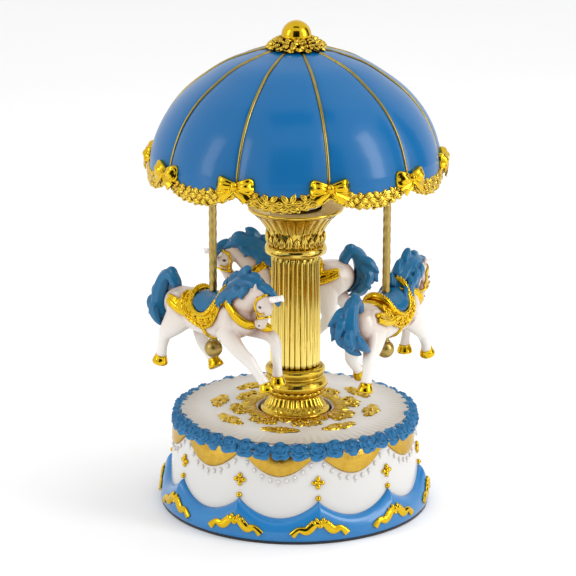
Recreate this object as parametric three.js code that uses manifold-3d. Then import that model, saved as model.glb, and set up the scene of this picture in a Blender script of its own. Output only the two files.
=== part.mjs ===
// Carousel music box: a round cast base holding a going-barrel musical movement, and a rotor of
// fluted column, panelled canopy, three poles and three galloping horses that turns on the
// movement's spindle. Millimetres, +Z up, origin on the ground under the spindle.
import * as THREE from 'three';
import { mergeVertices } from 'three/addons/utils/BufferGeometryUtils.js';
import Module from 'manifold-3d';

const wasm = await Module();
wasm.setup();

// Driving dimensions
const GAP = 0.3;
const PANELS = 10;
const RIB_ANGLE = THREE.MathUtils.degToRad(12.6);
const BASE_R = 63.5;
const FELT_H = 0.9;
const PLATFORM_Z = 44.5;
const PLATFORM_T = 2.5;
const FOOT_HOLE_R = 17.3;
const PLATE_Z = 12.2;
const PLATE_T = 1.5;
const BED_Z = 17.5;
const BED_T = 1.5;
const SPINDLE_R = 1.9;
const BORE_R = SPINDLE_R + GAP;
const ARBOR_R = 2.0;
const BARREL_R = 12.6;
const CROWN_TEETH = 24;
const CROWN_R = 11.25;
const CROWN_Z = 28.5;
const CYL_PINION_TEETH = 8;
const CYL_WHEEL_TEETH = 24;
const CYL_WHEEL_R = 7.6;
const TRAIN_PINION_TEETH = 6;
const WORM_WHEEL_TEETH = 24;
const WORM_PITCH = 1.5;
const RATCHET_TEETH = 12;
const NOTES = 18;
const SHAFT_BOTTOM = 66.1;
const SHAFT_TOP = 119;
const CAPITAL_TOP = 142;
const RIM_Z = 161.5;
const POLE_R = 1.85;
const POLE_CIRCLE = 45.6;
const POLE_TOP = 168;
const FINIAL_R = 6.9;
const TOTAL_H = 228;

// Each rider: angle of its pole round the spindle, the way the horse heads, and how far its pole
// hangs below or above the mean length.
const RIDERS = [
  { id: 'left', angle: 214.9, heading: 315, drop: 1.9 },
  { id: 'right', angle: 334.9, heading: 57, drop: -0.3 },
  { id: 'back', angle: 91.1, heading: 185, drop: -1.5 },
];

const CYL_PITCH = (2 * Math.PI * CROWN_R) / CROWN_TEETH;
const CYL_PINION_R = (CYL_PITCH * CYL_PINION_TEETH) / (2 * Math.PI);
const CYL_Z = CROWN_Z + CYL_PINION_R;
const TRAIN_PITCH = (2 * Math.PI * CYL_WHEEL_R) / CYL_WHEEL_TEETH;
const TRAIN_PINION_R = (TRAIN_PITCH * TRAIN_PINION_TEETH) / (2 * Math.PI);
const TRAIN_Y = 8.2;
const TRAIN_Z = CYL_Z - Math.sqrt((CYL_WHEEL_R + TRAIN_PINION_R) ** 2 - TRAIN_Y ** 2);
const WORM_WHEEL_R = (WORM_PITCH * WORM_WHEEL_TEETH) / (2 * Math.PI);
const WORM_R = 1.45;
const WORM_X = 38.7;
const WORM_Y = TRAIN_Y + WORM_WHEEL_R + WORM_R;

// Finishes
const finish = (color, roughness, metalness) =>
  new THREE.MeshStandardMaterial({ color, roughness, metalness });
const WHITE_GLAZE = finish(0xe9e8ea, 0.25, 0);
const BLUE_PAINT = finish(0x2f70b4, 0.28, 0);
const PEARL_WHITE = finish(0xeee8e8, 0.3, 0);
const PLATED_GOLD = finish(0xd9b400, 0.15, 1);
const PALE_GOLD = finish(0xd8bc5e, 0.3, 1);
const ANTIQUE_BRASS = finish(0xa08b4a, 0.35, 1);
const STEEL = finish(0xb8bcc0, 0.3, 1);
const BRASS = finish(0xc8a64a, 0.3, 1);
const ZINC = finish(0x9a9c9e, 0.45, 1);
const BLACK_FELT = finish(0x1c1c20, 0.95, 0);
const PRESSED_BOARD = finish(0x6f6a64, 0.8, 0);
const WHITE_PLASTIC = finish(0xe4e2dc, 0.45, 0);

const root = new THREE.Group();
root.name = 'carousel_music_box';

// Geometry helpers
function solid(geometry) {
  const plain = geometry.clone();
  plain.deleteAttribute('normal');
  plain.deleteAttribute('uv');
  const merged = mergeVertices(plain, 1e-4);
  return new wasm.Manifold(new wasm.Mesh({
    numProp: 3,
    vertProperties: new Float32Array(merged.attributes.position.array),
    triVerts: new Uint32Array(merged.index.array),
  }));
}

function fuse(pieces) {
  return pieces.reduce((all, piece) => all.add(piece));
}

function geometryOf(manifold) {
  const mesh = manifold.getMesh();
  const geometry = new THREE.BufferGeometry();
  geometry.setAttribute('position', new THREE.BufferAttribute(new Float32Array(mesh.vertProperties), 3));
  geometry.setIndex(new THREE.BufferAttribute(new Uint32Array(mesh.triVerts), 1));
  geometry.computeVertexNormals();
  return geometry;
}

function place(name, shape, material, parent = root) {
  const geometry = shape.isBufferGeometry ? shape : geometryOf(shape);
  const mesh = new THREE.Mesh(geometry, material);
  mesh.name = name;
  parent.add(mesh);
  return mesh;
}

function lathe(profile, segments) {
  const points = profile.map(([r, z]) => new THREE.Vector2(r, z));
  return new THREE.LatheGeometry(points, segments).rotateX(Math.PI / 2);
}

function closed(profile) {
  return [...profile, profile[0]];
}

function rod(radius, z0, z1, segments = 12) {
  const geometry = new THREE.CylinderGeometry(radius, radius, z1 - z0, segments);
  return geometry.rotateX(Math.PI / 2).translate(0, 0, (z0 + z1) / 2);
}

function rodAlongX(radius, x0, x1, y, z, segments = 12) {
  const geometry = new THREE.CylinderGeometry(radius, radius, x1 - x0, segments);
  return geometry.rotateZ(-Math.PI / 2).translate((x0 + x1) / 2, y, z);
}

function block(x0, x1, y0, y1, z0, z1) {
  const geometry = new THREE.BoxGeometry(x1 - x0, y1 - y0, z1 - z0);
  return geometry.translate((x0 + x1) / 2, (y0 + y1) / 2, (z0 + z1) / 2);
}

function prism(outline, z0, z1) {
  const shape = new THREE.Shape(outline.map(([x, y]) => new THREE.Vector2(x, y)));
  const geometry = new THREE.ExtrudeGeometry(shape, { depth: z1 - z0, bevelEnabled: false });
  return geometry.translate(0, 0, z0);
}

// Outline of a wheel with thin straight teeth; the first tooth stands on the +X side.
function toothedOutline(teeth, rootR, tipR, toothWidth) {
  const outline = [];
  for (let i = 0; i < teeth; i += 1) {
    const middle = (2 * Math.PI * i) / teeth;
    const atRoot = toothWidth * 0.65 / rootR;
    const atTip = toothWidth * 0.4 / tipR;
    for (const [offset, r] of [[-atRoot, rootR], [-atTip, tipR], [atTip, tipR], [atRoot, rootR]]) {
      outline.push([r * Math.cos(middle + offset), r * Math.sin(middle + offset)]);
    }
  }
  return outline;
}

// A wheel whose arbor lies along X: drawn flat, then turned so its first tooth points along +Y.
function wheelAlongX(outline, x0, x1, y, z, turn = 0) {
  const geometry = prism(outline, 0, x1 - x0);
  return geometry.rotateZ(turn).rotateX(Math.PI / 2).rotateZ(Math.PI / 2).translate(x0, y, z);
}

// A machine screw with a domed, slotted head under its seat and its shank going up.
function screw(x, y, seatZ, headR, shankR, length) {
  const head = solid(lathe([
    [0, seatZ - 1.2], [headR * 0.75, seatZ - 1.2], [headR, seatZ - 0.6],
    [headR, seatZ - 0.05], [0, seatZ - 0.05],
  ], 8));
  const shank = solid(rod(shankR, seatZ - 0.3, seatZ + length, 6));
  const slot = solid(block(-headR, headR, -0.3, 0.3, seatZ - 1.5, seatZ - 0.75));
  return head.add(shank).subtract(slot).translate([x, y, 0]);
}

// ---------------------------------------------------------------- base

const PLATE_SCREWS = [60, 180, 300].map((deg) => {
  const a = THREE.MathUtils.degToRad(deg);
  return [49 * Math.cos(a), 49 * Math.sin(a)];
});
const BED_FEET = [[-13, -10], [-13, 15], [38, 2], [22, -26]];

// Hollow casting: flared skirt, upright drum wall, bead of roses round the rim and the flat
// platform with a round hole for the foot of the column. Three bosses inside take the plate screws.
const baseOutline = closed([
  [60.3, FELT_H + GAP], [BASE_R, FELT_H + GAP], [BASE_R, 2.8], [61.5, 10], [59.8, 18], [57.2, 36.5],
  [59.2, 39.6], [58.9, 43.6], [55.5, 46], [51.4, PLATFORM_Z], [FOOT_HOLE_R, PLATFORM_Z],
  [FOOT_HOLE_R, PLATFORM_Z - PLATFORM_T], [51.5, PLATFORM_Z - PLATFORM_T], [56.6, 16],
]);
let baseShell = solid(lathe(baseOutline, 40));
for (const [x, y] of PLATE_SCREWS) {
  const boss = solid(rod(3.6, PLATE_Z + PLATE_T + GAP, PLATFORM_Z - 1, 8)).translate([x, y, 0]);
  const bore = solid(rod(1.5, PLATE_Z, PLATE_Z + 12, 6)).translate([x, y, 0]);
  baseShell = baseShell.add(boss).subtract(bore);
}
place('base_shell', baseShell, WHITE_GLAZE);

place('felt_ring', lathe(closed([[57, 0], [63.2, 0], [63.2, FELT_H], [57, FELT_H]]), 40), BLACK_FELT);

// Pressed board that closes the base, with a hole for the winding arbor.
let bottomPlate = solid(lathe(closed([
  [2.6, PLATE_Z], [56.1, PLATE_Z], [56.1, PLATE_Z + PLATE_T], [2.6, PLATE_Z + PLATE_T],
]), 30));
for (const [x, y] of [...PLATE_SCREWS, ...BED_FEET]) {
  const hole = solid(rod(1.5, PLATE_Z - 1, PLATE_Z + PLATE_T + 1, 6));
  bottomPlate = bottomPlate.subtract(hole.translate([x, y, 0]));
}
place('bottom_plate', bottomPlate, PRESSED_BOARD);

PLATE_SCREWS.forEach(([x, y], i) => {
  place(`plate_screw_${i + 1}`, screw(x, y, PLATE_Z - GAP + 0.05, 2.6, 1.2, 11), STEEL);
});

// ---------------------------------------------------------------- musical movement

// Die-cast frame: bedplate on four feet, comb block, and two posts carrying the cylinder arbor.
const CYL_POSTS = [[13, 14.2], [31.8, 33]];
const COMB_Y = -7;
const COMB_ROOT_Y = -20;
const COMB_BACK_Y = -28;
const COMB_Z = CYL_Z - 0.4;
const COMB_SCREWS = [[18.5, -24.5], [27.5, -24.5]];
let frame = solid(prism([
  [-17, -14], [11, -14], [12, -30], [34, -30], [36, -14], [44, -8], [44, 20], [-17, 20],
], BED_Z, BED_Z + BED_T));
frame = frame.add(solid(block(14, 32, COMB_BACK_Y, COMB_ROOT_Y - 0.5, BED_Z + 1, COMB_Z - 0.4 - GAP)));
for (const [x0, x1] of CYL_POSTS) {
  frame = frame.add(solid(block(x0, x1, -3, 3, BED_Z + 1, CYL_Z + 2.6)));
}
for (const [x, y] of BED_FEET) {
  frame = frame.add(solid(rod(3, PLATE_Z + PLATE_T + GAP, BED_Z + 0.5, 8)).translate([x, y, 0]));
}
for (const [x, y] of BED_FEET) {
  frame = frame.subtract(solid(rod(1.5, PLATE_Z, BED_Z + 4, 6)).translate([x, y, 0]));
}
for (const [x, y] of COMB_SCREWS) {
  frame = frame.subtract(solid(rod(1.2, COMB_Z - 8, COMB_Z + 1, 6)).translate([x, y, 0]));
}
frame = frame.subtract(solid(rod(ARBOR_R + 0.4, BED_Z - 1, BED_Z + 3, 16)));
frame = frame.subtract(solid(rodAlongX(1.35, 12, 34, 0, CYL_Z, 10)));
place('movement_frame', frame, ZINC);

BED_FEET.forEach(([x, y], i) => {
  place(`movement_screw_${i + 1}`, screw(x, y, PLATE_Z - GAP + 0.05, 2.6, 1.2, 8), STEEL);
});

// Steel comb with one tooth for each note, the bass teeth wider and longer set back.
const combOutline = [[14.6, COMB_BACK_Y + 1], [31.4, COMB_BACK_Y + 1]];
const NOTE_PITCH = 15.2 / NOTES;
for (let i = NOTES - 1; i >= 0; i -= 1) {
  const x = 15.4 + NOTE_PITCH * i;
  const slotEnd = COMB_ROOT_Y + 5 - 0.2 * i;
  combOutline.push([x + NOTE_PITCH * 0.8, slotEnd], [x + NOTE_PITCH * 0.8, COMB_Y]);
  combOutline.push([x + NOTE_PITCH * 0.15, COMB_Y], [x + NOTE_PITCH * 0.15, slotEnd - 0.1]);
}
let comb = solid(prism(combOutline, COMB_Z - 0.4, COMB_Z + 0.4));
for (const [x, y] of COMB_SCREWS) {
  comb = comb.subtract(solid(rod(1.2, COMB_Z - 2, COMB_Z + 2, 6)).translate([x, y, 0]));
}
place('comb', comb, STEEL);

COMB_SCREWS.forEach(([x, y], i) => {
  const upright = screw(0, 0, 0, 2, 0.9, 6).rotate([180, 0, 0]);
  place(`comb_screw_${i + 1}`, upright.translate([x, y, COMB_Z + 0.4 + GAP - 0.05]), STEEL);
});

// Mainspring barrel: a shallow drum with contrate teeth round its top and a boss for the spindle.
const CROWN_ROOT_Z = CROWN_Z - 0.8;
let barrel = solid(lathe([
  [0, 26.9], [11.8, 26.9], [11.8, 20.3], [ARBOR_R + 0.4, 20.3], [ARBOR_R + 0.4, 19.4], [BARREL_R, 19.4],
  [BARREL_R, CROWN_ROOT_Z], [4.6, CROWN_ROOT_Z], [4.6, 32.6], [BORE_R, 32.6], [BORE_R, 29], [0, 29],
], 24));
for (let i = 0; i < CROWN_TEETH; i += 1) {
  const tooth = solid(block(10.2, 12.3, -0.42, 0.42, CROWN_ROOT_Z - 0.2, CROWN_Z + 0.7));
  barrel = barrel.add(tooth.rotate([0, 0, (360 * (i + 0.5)) / CROWN_TEETH]));
}
place('spring_barrel', barrel, BRASS);

// Mainspring: a flat steel ribbon coiled between the arbor and the barrel wall.
const SPRING_TURNS = 4;
const SPRING_STEPS = 11;
const springOutline = [];
for (const side of [1, -1]) {
  for (let k = 0; k <= SPRING_TURNS * SPRING_STEPS; k += 1) {
    const i = side > 0 ? k : SPRING_TURNS * SPRING_STEPS - k;
    const a = (2 * Math.PI * i) / SPRING_STEPS;
    const r = 3 + (7.6 * i) / (SPRING_TURNS * SPRING_STEPS) + 0.25 * side;
    springOutline.push([r * Math.cos(a), r * Math.sin(a)]);
  }
}
place('mainspring', prism(springOutline, 20.7, 26.5), STEEL);

// Pinned brass cylinder on its arbor, with the pinion the barrel drives and the wheel that
// drives the governor train.
place('cylinder_arbor', rodAlongX(1, 9.4, 36.2, 0, CYL_Z, 10), STEEL);
const DRUM_R = 6.2;
let drum = solid(rodAlongX(DRUM_R, 15.2, 30.8, 0, CYL_Z, 16));
for (let i = 0; i < NOTES; i += 1) {
  const pin = solid(block(-0.2, 0.2, -0.2, 0.2, DRUM_R - 0.4, DRUM_R + 0.45));
  const note = (i * 7) % NOTES;
  const x = 15.4 + NOTE_PITCH * (note + 0.475);
  drum = drum.add(pin.rotate([(360 * i) / NOTES + 5, 0, 0]).translate([x, 0, CYL_Z]));
}
drum = drum.subtract(solid(rodAlongX(1 + GAP, 14, 32, 0, CYL_Z, 10)));
place('pinned_cylinder', drum, BRASS);

function boredWheel(outline, x0, x1, y, z, turn) {
  const wheel = solid(wheelAlongX(outline, x0, x1, y, z, turn));
  return wheel.subtract(solid(rodAlongX(1 + GAP, x0 - 1, x1 + 1, y, z, 10)));
}
const cylPinion = toothedOutline(CYL_PINION_TEETH, CYL_PINION_R - 0.95, CYL_PINION_R + 0.7, 0.85);
place('cylinder_pinion', boredWheel(cylPinion, 10.4, 12.2, 0, CYL_Z, 0), BRASS);

// The train arbor lies beside the cylinder; one tooth of the wheel points straight at it.
const trainDirection = Math.atan2(TRAIN_Z - CYL_Z, TRAIN_Y);
const cylWheel = toothedOutline(CYL_WHEEL_TEETH, CYL_WHEEL_R - 0.8, CYL_WHEEL_R + 0.55, 0.6);
place('cylinder_wheel', boredWheel(cylWheel, 34, 35.4, 0, CYL_Z, trainDirection), BRASS);

place('train_arbor', rodAlongX(0.6, 32.4, 42.6, TRAIN_Y, TRAIN_Z, 8), STEEL);
const trainPinion = toothedOutline(TRAIN_PINION_TEETH, TRAIN_PINION_R - 0.7, TRAIN_PINION_R + 0.55, 0.55);
const halfTooth = Math.PI / TRAIN_PINION_TEETH;
let trainPinionSolid = solid(wheelAlongX(
  trainPinion, 33.8, 35.6, TRAIN_Y, TRAIN_Z, trainDirection + Math.PI + halfTooth,
));
trainPinionSolid = trainPinionSolid.subtract(solid(rodAlongX(0.85, 33, 36, TRAIN_Y, TRAIN_Z, 8)));
place('train_pinion', trainPinionSolid, STEEL);
const wormWheel = toothedOutline(WORM_WHEEL_TEETH, WORM_WHEEL_R - 0.7, WORM_WHEEL_R + 0.15, 0.4);
place('worm_wheel', boredWheel(wormWheel, 38, 39.4, TRAIN_Y, TRAIN_Z, 0), WHITE_PLASTIC);

// Governor: a worm with a two-bladed fan, standing in its own bracket on the bedplate.
const WORM_TURNS = 3.5;
class Thread extends THREE.Curve {
  getPoint(t) {
    const a = 2 * Math.PI * WORM_TURNS * t;
    const start = -Math.PI / 2 - Math.PI * WORM_TURNS;
    const z = TRAIN_Z + WORM_PITCH * (WORM_TURNS * (t - 0.5) + 0.5);
    return new THREE.Vector3(1.4 * Math.cos(start + a), 1.4 * Math.sin(start + a), z);
  }
}
const threadSection = new THREE.Shape();
for (let i = 0; i < 5; i += 1) {
  const a = (Math.PI * i) / 2.5;
  if (i === 0) threadSection.moveTo(0.3, 0);
  else threadSection.lineTo(0.3 * Math.cos(a), 0.3 * Math.sin(a));
}
threadSection.closePath();
const thread = new THREE.ExtrudeGeometry(threadSection, { steps: 32, extrudePath: new Thread() });
const BED_TOP = BED_Z + BED_T;
let fan = solid(rod(1.15, TRAIN_Z - 3.6, TRAIN_Z + 3.8, 8)).add(solid(thread));
fan = fan.add(solid(rod(0.6, BED_TOP + 1.2, 41, 6)));
fan = fan.add(solid(block(-6, 6, -0.25, 0.25, 35.2, 40.2)));
place('governor_fan', fan.translate([WORM_X, WORM_Y, 0]), WHITE_PLASTIC);

let bracket = solid(block(36.2, 43, 4.6, 18.2, BED_TOP + GAP, BED_TOP + 2));
bracket = bracket.add(solid(block(36.2, 37.2, 4.6, 11.4, BED_TOP + 1, TRAIN_Z + 2.6)));
bracket = bracket.add(solid(block(41.8, 43, 4.6, 18.2, BED_TOP + 1, 34.4)));
bracket = bracket.add(solid(block(36.6, 43, WORM_Y - 2, WORM_Y + 2, 33.2, 34.4)));
bracket = bracket.subtract(solid(rodAlongX(1, 35, 42.7, TRAIN_Y, TRAIN_Z, 8)));
bracket = bracket.subtract(solid(rod(0.9, BED_TOP + 0.9, 36, 8)).translate([WORM_X, WORM_Y, 0]));
place('governor_bracket', bracket, ZINC);

// Winding side: arbor through the bedplate, ratchet wheel, thumb key in the recess under the base.
place('winding_arbor', rod(ARBOR_R, 5.8, 26.5, 12), STEEL);
const ratchetOutline = [];
for (let i = 0; i < RATCHET_TEETH; i += 1) {
  const a = (2 * Math.PI * i) / RATCHET_TEETH;
  ratchetOutline.push([5.2 * Math.cos(a), 5.2 * Math.sin(a)], [6.5 * Math.cos(a), 6.5 * Math.sin(a)]);
}
const ratchetHub = solid(rod(ARBOR_R + GAP, 10, 20, 12));
place('ratchet_wheel', solid(prism(ratchetOutline, 14.4, 16.4)).subtract(ratchetHub), STEEL);

let key = solid(rod(3.4, 3.4, PLATE_Z - 0.6, 12));
for (const side of [1, -1]) {
  const wing = solid(rodAlongX(5, -0.9, 0.9, 0, 0, 14)).subtract(solid(rodAlongX(2.2, -2, 2, 0, 0, 8)));
  key = key.add(wing.rotate([0, 0, 90]).scale([1.25, 1, 0.8]).translate([side * 8.2, 0, 6.2]));
}
place('winding_key', key.subtract(solid(rod(ARBOR_R + GAP, 5.4, 20, 12))), STEEL);

// Click: a pivoted pawl whose nose drops behind a ratchet tooth and stops it running back.
const CLICK_X = 7.6;
const CLICK_Y = -7.2;
let click = solid(prism([
  [5.55, -0.35], [6.5, -0.35], [8.9, -4.4], [9.1, -7.2], [6.2, -7.4], [6.6, -5.2], [5.75, -1.4],
], 14.5, 16.3));
click = click.add(solid(rod(1.9, 14.5, 16.3, 10)).translate([CLICK_X, CLICK_Y, 0]));
place('click', click.subtract(solid(rod(1.1, 14, 17, 8)).translate([CLICK_X, CLICK_Y, 0])), STEEL);
place('click_stud', solid(rod(0.8, 14.1, BED_Z, 8)).translate([CLICK_X, CLICK_Y, -GAP]), STEEL);

// ---------------------------------------------------------------- column

place('spindle', rod(SPINDLE_R, 29.3, 219.5, 12), STEEL);

const flangeOutline = closed([
  [BORE_R, 33], [5.6, 33], [5.6, 38.4], [13.4, 38.4], [13.4, 40.1], [BORE_R, 40.1],
]);
place('drive_flange', lathe(flangeOutline, 20), BRASS);

// Foot of the column: smooth ring in the platform, fluted bell, neck and two round mouldings.
place('column_foot', lathe(closed([
  [10, 40.4], [16.4, 40.4], [16.5, 44.2], [13.9, 46.4], [11.9, 48.8], [11.2, 51.2], [13.3, 52.6], [13.7, 54],
  [15.2, 55.6], [15.2, 57.6], [13.6, 60.2], [13.3, 61.6], [14.1, 63.2], [14, 64.8], [12.7, 65.8], [8.6, 65.8],
  [8.6, 51.6],
]), 24), PLATED_GOLD);

// Shaft: a tube gathered into narrow flutes.
const FLUTES = 24;
const shaftShape = new THREE.Shape();
for (let i = 0; i < 2 * FLUTES; i += 1) {
  const a = (Math.PI * i) / FLUTES;
  const r = i % 2 ? 10.9 : 11.7;
  if (i === 0) shaftShape.moveTo(r, 0);
  else shaftShape.lineTo(r * Math.cos(a), r * Math.sin(a));
}
shaftShape.closePath();
const shaftBore = new THREE.Path();
shaftBore.absarc(0, 0, 8.6, 0, 2 * Math.PI, true);
shaftShape.holes.push(shaftBore);
const shaft = new THREE.ExtrudeGeometry(shaftShape, {
  depth: SHAFT_TOP - SHAFT_BOTTOM, bevelEnabled: false, curveSegments: 12,
});
place('column_shaft', shaft.translate(0, 0, SHAFT_BOTTOM), PALE_GOLD);

place('column_capital', lathe(closed([
  [8.6, SHAFT_TOP + GAP], [13, SHAFT_TOP + GAP], [14.5, 121.6], [12.8, 124.2], [13.8, 130], [16.5, 135],
  [21.8, 140.2], [22.2, CAPITAL_TOP], [12.4, CAPITAL_TOP], [8.6, 128],
]), 24), PALE_GOLD);

// ---------------------------------------------------------------- canopy

function poleSpot(rider) {
  const a = THREE.MathUtils.degToRad(rider.angle);
  return [POLE_CIRCLE * Math.cos(a), POLE_CIRCLE * Math.sin(a)];
}

// Plate that closes the canopy from below; its hollow hub stands on the capital.
let ceiling = solid(lathe(closed([
  [9.5, CAPITAL_TOP + GAP], [12, CAPITAL_TOP + GAP], [12, RIM_Z + GAP], [62.9, RIM_Z + GAP],
  [62.9, RIM_Z + GAP + 1.8], [BORE_R + 0.1, RIM_Z + GAP + 1.8],
  [BORE_R + 0.1, RIM_Z - 1.2], [9.5, RIM_Z - 1.2],
]), 30));
for (const rider of RIDERS) {
  const [x, y] = poleSpot(rider);
  ceiling = ceiling.subtract(solid(rod(POLE_R + GAP, 150, 170, 10)).translate([x, y, 0]));
}
place('ceiling_plate', ceiling, WHITE_PLASTIC);

// Ten-panelled dome: a turned shell whose panels swell a little between the ribs.
const PER_PANEL = 4;
function panelPhase(x, y) {
  const a = Math.atan2(x, -y) - RIB_ANGLE;
  return Math.abs(Math.sin((a * PANELS) / 2));
}
const dome = lathe(closed([
  [66, RIM_Z + GAP], [65.3, 169.5], [62, 179], [57.2, 187.5], [50.2, 196], [41, 203.4], [30.6, 209.4],
  [17, 214.1], [BORE_R + 0.1, 216], [BORE_R + 0.1, 213.6], [28, 207.4], [47, 195.4], [60, 176],
  [64.2, RIM_Z + GAP],
]), PANELS * PER_PANEL).rotateZ(RIB_ANGLE - Math.PI / 2);
const domePoints = dome.attributes.position;
for (let i = 0; i < domePoints.count; i += 1) {
  const x = domePoints.getX(i);
  const y = domePoints.getY(i);
  const outside = Math.hypot(x, y) > 12;
  const swell = outside ? 1 + 0.013 * panelPhase(x, y) : 1;
  domePoints.setXY(i, x * swell, y * swell);
}
place('canopy_dome', dome, BLUE_PAINT);

// Plated garland under the rim: a ring with a swag under every panel and a bow over every rib.
const swags = lathe(closed([
  [61.4, RIM_Z - 1.6], [66, RIM_Z - 4.2], [68.2, RIM_Z - 2.6], [67.4, RIM_Z], [61.4, RIM_Z],
]), PANELS * PER_PANEL).rotateZ(RIB_ANGLE - Math.PI / 2);
const swagPoints = swags.attributes.position;
for (let i = 0; i < swagPoints.count; i += 1) {
  const sag = panelPhase(swagPoints.getX(i), swagPoints.getY(i)) ** 0.8;
  const below = RIM_Z - swagPoints.getZ(i);
  swagPoints.setZ(i, RIM_Z - below * (0.55 + 1.3 * sag));
}
let garland = solid(swags);
for (let i = 0; i < PANELS; i += 1) {
  const turn = THREE.MathUtils.radToDeg(RIB_ANGLE) - 90 + (360 * i) / PANELS;
  const knot = solid(
    new THREE.CylinderGeometry(1.7, 1.7, 8, 5).rotateX(Math.PI / 2),
  ).translate([68.6, 0, 163.4]);
  const parts = [knot];
  for (const side of [1, -1]) {
    const loop = solid(new THREE.CylinderGeometry(3.4, 1.4, 7, 5)).scale([0.55, 1, 1.1]);
    parts.push(loop.rotate([side > 0 ? 12 : 168, 0, 0]).translate([68.8, side * 3.8, 166.2]));
  }
  garland = garland.add(fuse(parts).rotate([0, 0, turn]));
}
place('canopy_garland', garland, PLATED_GOLD);

place('finial_collar', lathe(closed([
  [BORE_R + 0.1, 216.4], [11.2, 216.4], [13.4, 215.4], [14.3, 215.7], [14.4, 217], [12.4, 218.8],
  [7.4, 220.2], [6, 216.9], [BORE_R + 0.1, 216.9],
]), 20), PLATED_GOLD);

const FINIAL_Z = TOTAL_H - FINIAL_R;
const FINIAL_SEAT = Math.asin((217.2 - FINIAL_Z) / FINIAL_R);
const FINIAL_RINGS = 8;
const ballProfile = [[0, 219.9], [BORE_R, 219.9], [BORE_R, 217.2]];
for (let i = 0; i < FINIAL_RINGS; i += 1) {
  const a = FINIAL_SEAT + ((Math.PI / 2 - FINIAL_SEAT) * i) / FINIAL_RINGS;
  ballProfile.push([FINIAL_R * Math.cos(a), FINIAL_Z + FINIAL_R * Math.sin(a)]);
}
ballProfile.push([0, TOTAL_H]);
place('finial_ball', lathe(ballProfile, 16), PLATED_GOLD);

// ---------------------------------------------------------------- riders

// A tube of elliptical rings laid along points given as [x, y, z, half width, half height].
function loft(rings, sides) {
  const last = rings.length - 1;
  const geometry = new THREE.CylinderGeometry(1, 1, last, sides, last);
  const centres = rings.map(([x, y, z]) => new THREE.Vector3(x, y, z));
  const points = geometry.attributes.position;
  for (let i = 0; i < points.count; i += 1) {
    const k = Math.round(points.getY(i) + last / 2);
    const [, , , width, height] = rings[k];
    const ahead = centres[Math.min(k + 1, last)].clone().sub(centres[Math.max(k - 1, 0)]).normalize();
    const across = new THREE.Vector3(0, 1, 0).addScaledVector(ahead, -ahead.y).normalize();
    const up = across.clone().cross(ahead);
    const moved = centres[k].clone()
      .addScaledVector(across, points.getX(i) * width)
      .addScaledVector(up, points.getZ(i) * (height ?? width));
    points.setXYZ(i, moved.x, moved.y, moved.z);
  }
  return solid(geometry);
}

// One galloping horse, cast in one piece: it heads along +X, its pole is the Z axis and its
// right side, at -Y, faces away from the column.
function horseSolid() {
  const parts = [
    loft([
      [-27.5, 0, 98, 3, 4], [-24, 0, 97, 7, 8], [-15, 0, 95.5, 9, 10], [-2, 0, 96, 8.8, 10.6],
      [12, 0, 96, 8.6, 10], [20, 0, 97, 7, 8], [25, 0, 98, 3, 4],
    ], 10),
    loft([
      [12, 0, 99, 7, 9], [20, 0, 106, 5.5, 7.5], [27, 0, 111, 4.4, 6], [33.5, 0, 109.6, 4.2, 5.2],
      [33, 0, 104, 3.6, 4.8], [31, 0, 98.4, 2.6, 3], [30.4, 0, 96.6, 1.6, 1.8],
    ], 8),
    loft([
      [7, 0, 106, 2, 2], [12, 0.6, 113, 3.8, 4], [21, 1, 117, 4.2, 4.4],
      [31, 1, 115.4, 3.4, 3], [38, 1, 110.4, 1.6],
    ], 6),
    loft([[20, 1, 117, 3, 4], [23, 1.3, 121.4, 0.8, 1]], 5),
    loft([[33, 1.5, 108.6, 2], [43.2, 2.2, 111.4, 0.5]], 5),
    loft([
      [12, -5, 93, 4.4, 5.6], [27, -4, 81, 2.8], [33.5, -2, 73, 1.9],
      [35, -1.6, 71, 2.4], [36.4, -1.4, 67.6, 3],
    ], 6),
    loft([
      [12, 4.6, 92.5, 4.4, 5.6], [30.5, 7, 90.5, 3], [33.4, 7.6, 87, 2.8],
      [33, 8.6, 74, 1.9], [33, 8.8, 67.6, 3],
    ], 6),
    loft([
      [-16, -4.6, 94, 5, 7], [-24.5, -6.6, 84, 3.4], [-27.6, -6.9, 74, 2],
      [-28.4, -6.9, 71, 2.4], [-29.2, -6.9, 67.2, 3.2],
    ], 6),
    loft([
      [-13, 4.6, 93, 5, 7], [-16, 7.6, 80, 3.6], [-15, 8.4, 76, 2.8],
      [-9.4, 8.5, 70.6, 2.2], [-6.6, 8.5, 66.6, 3],
    ], 6),
    loft([
      [-16, 0, 102.5, 3], [-22, -0.4, 108, 3], [-28, -0.8, 109.4, 3.2], [-33, -1, 104, 3.6],
      [-34, -1.5, 96, 5.6, 5], [-30, -3, 89, 4.4, 3], [-27, -5, 85.6, 1.4],
    ], 6),
    loft([[-33, 0, 97, 3], [-41.4, 5.8, 99, 1.8]], 5),
    loft([
      [-13, 0, 102, 7, 5], [-8, 0, 101, 8.6, 6.8], [-1, 0, 100, 9.2, 5.6],
      [7, 0, 101, 7.6, 6.4], [9, 0, 102, 6, 5],
    ], 8),
  ];
  return fuse(parts).subtract(solid(rod(POLE_R + GAP, 80, 125, 10)));
}
const horse = horseSolid();

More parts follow.
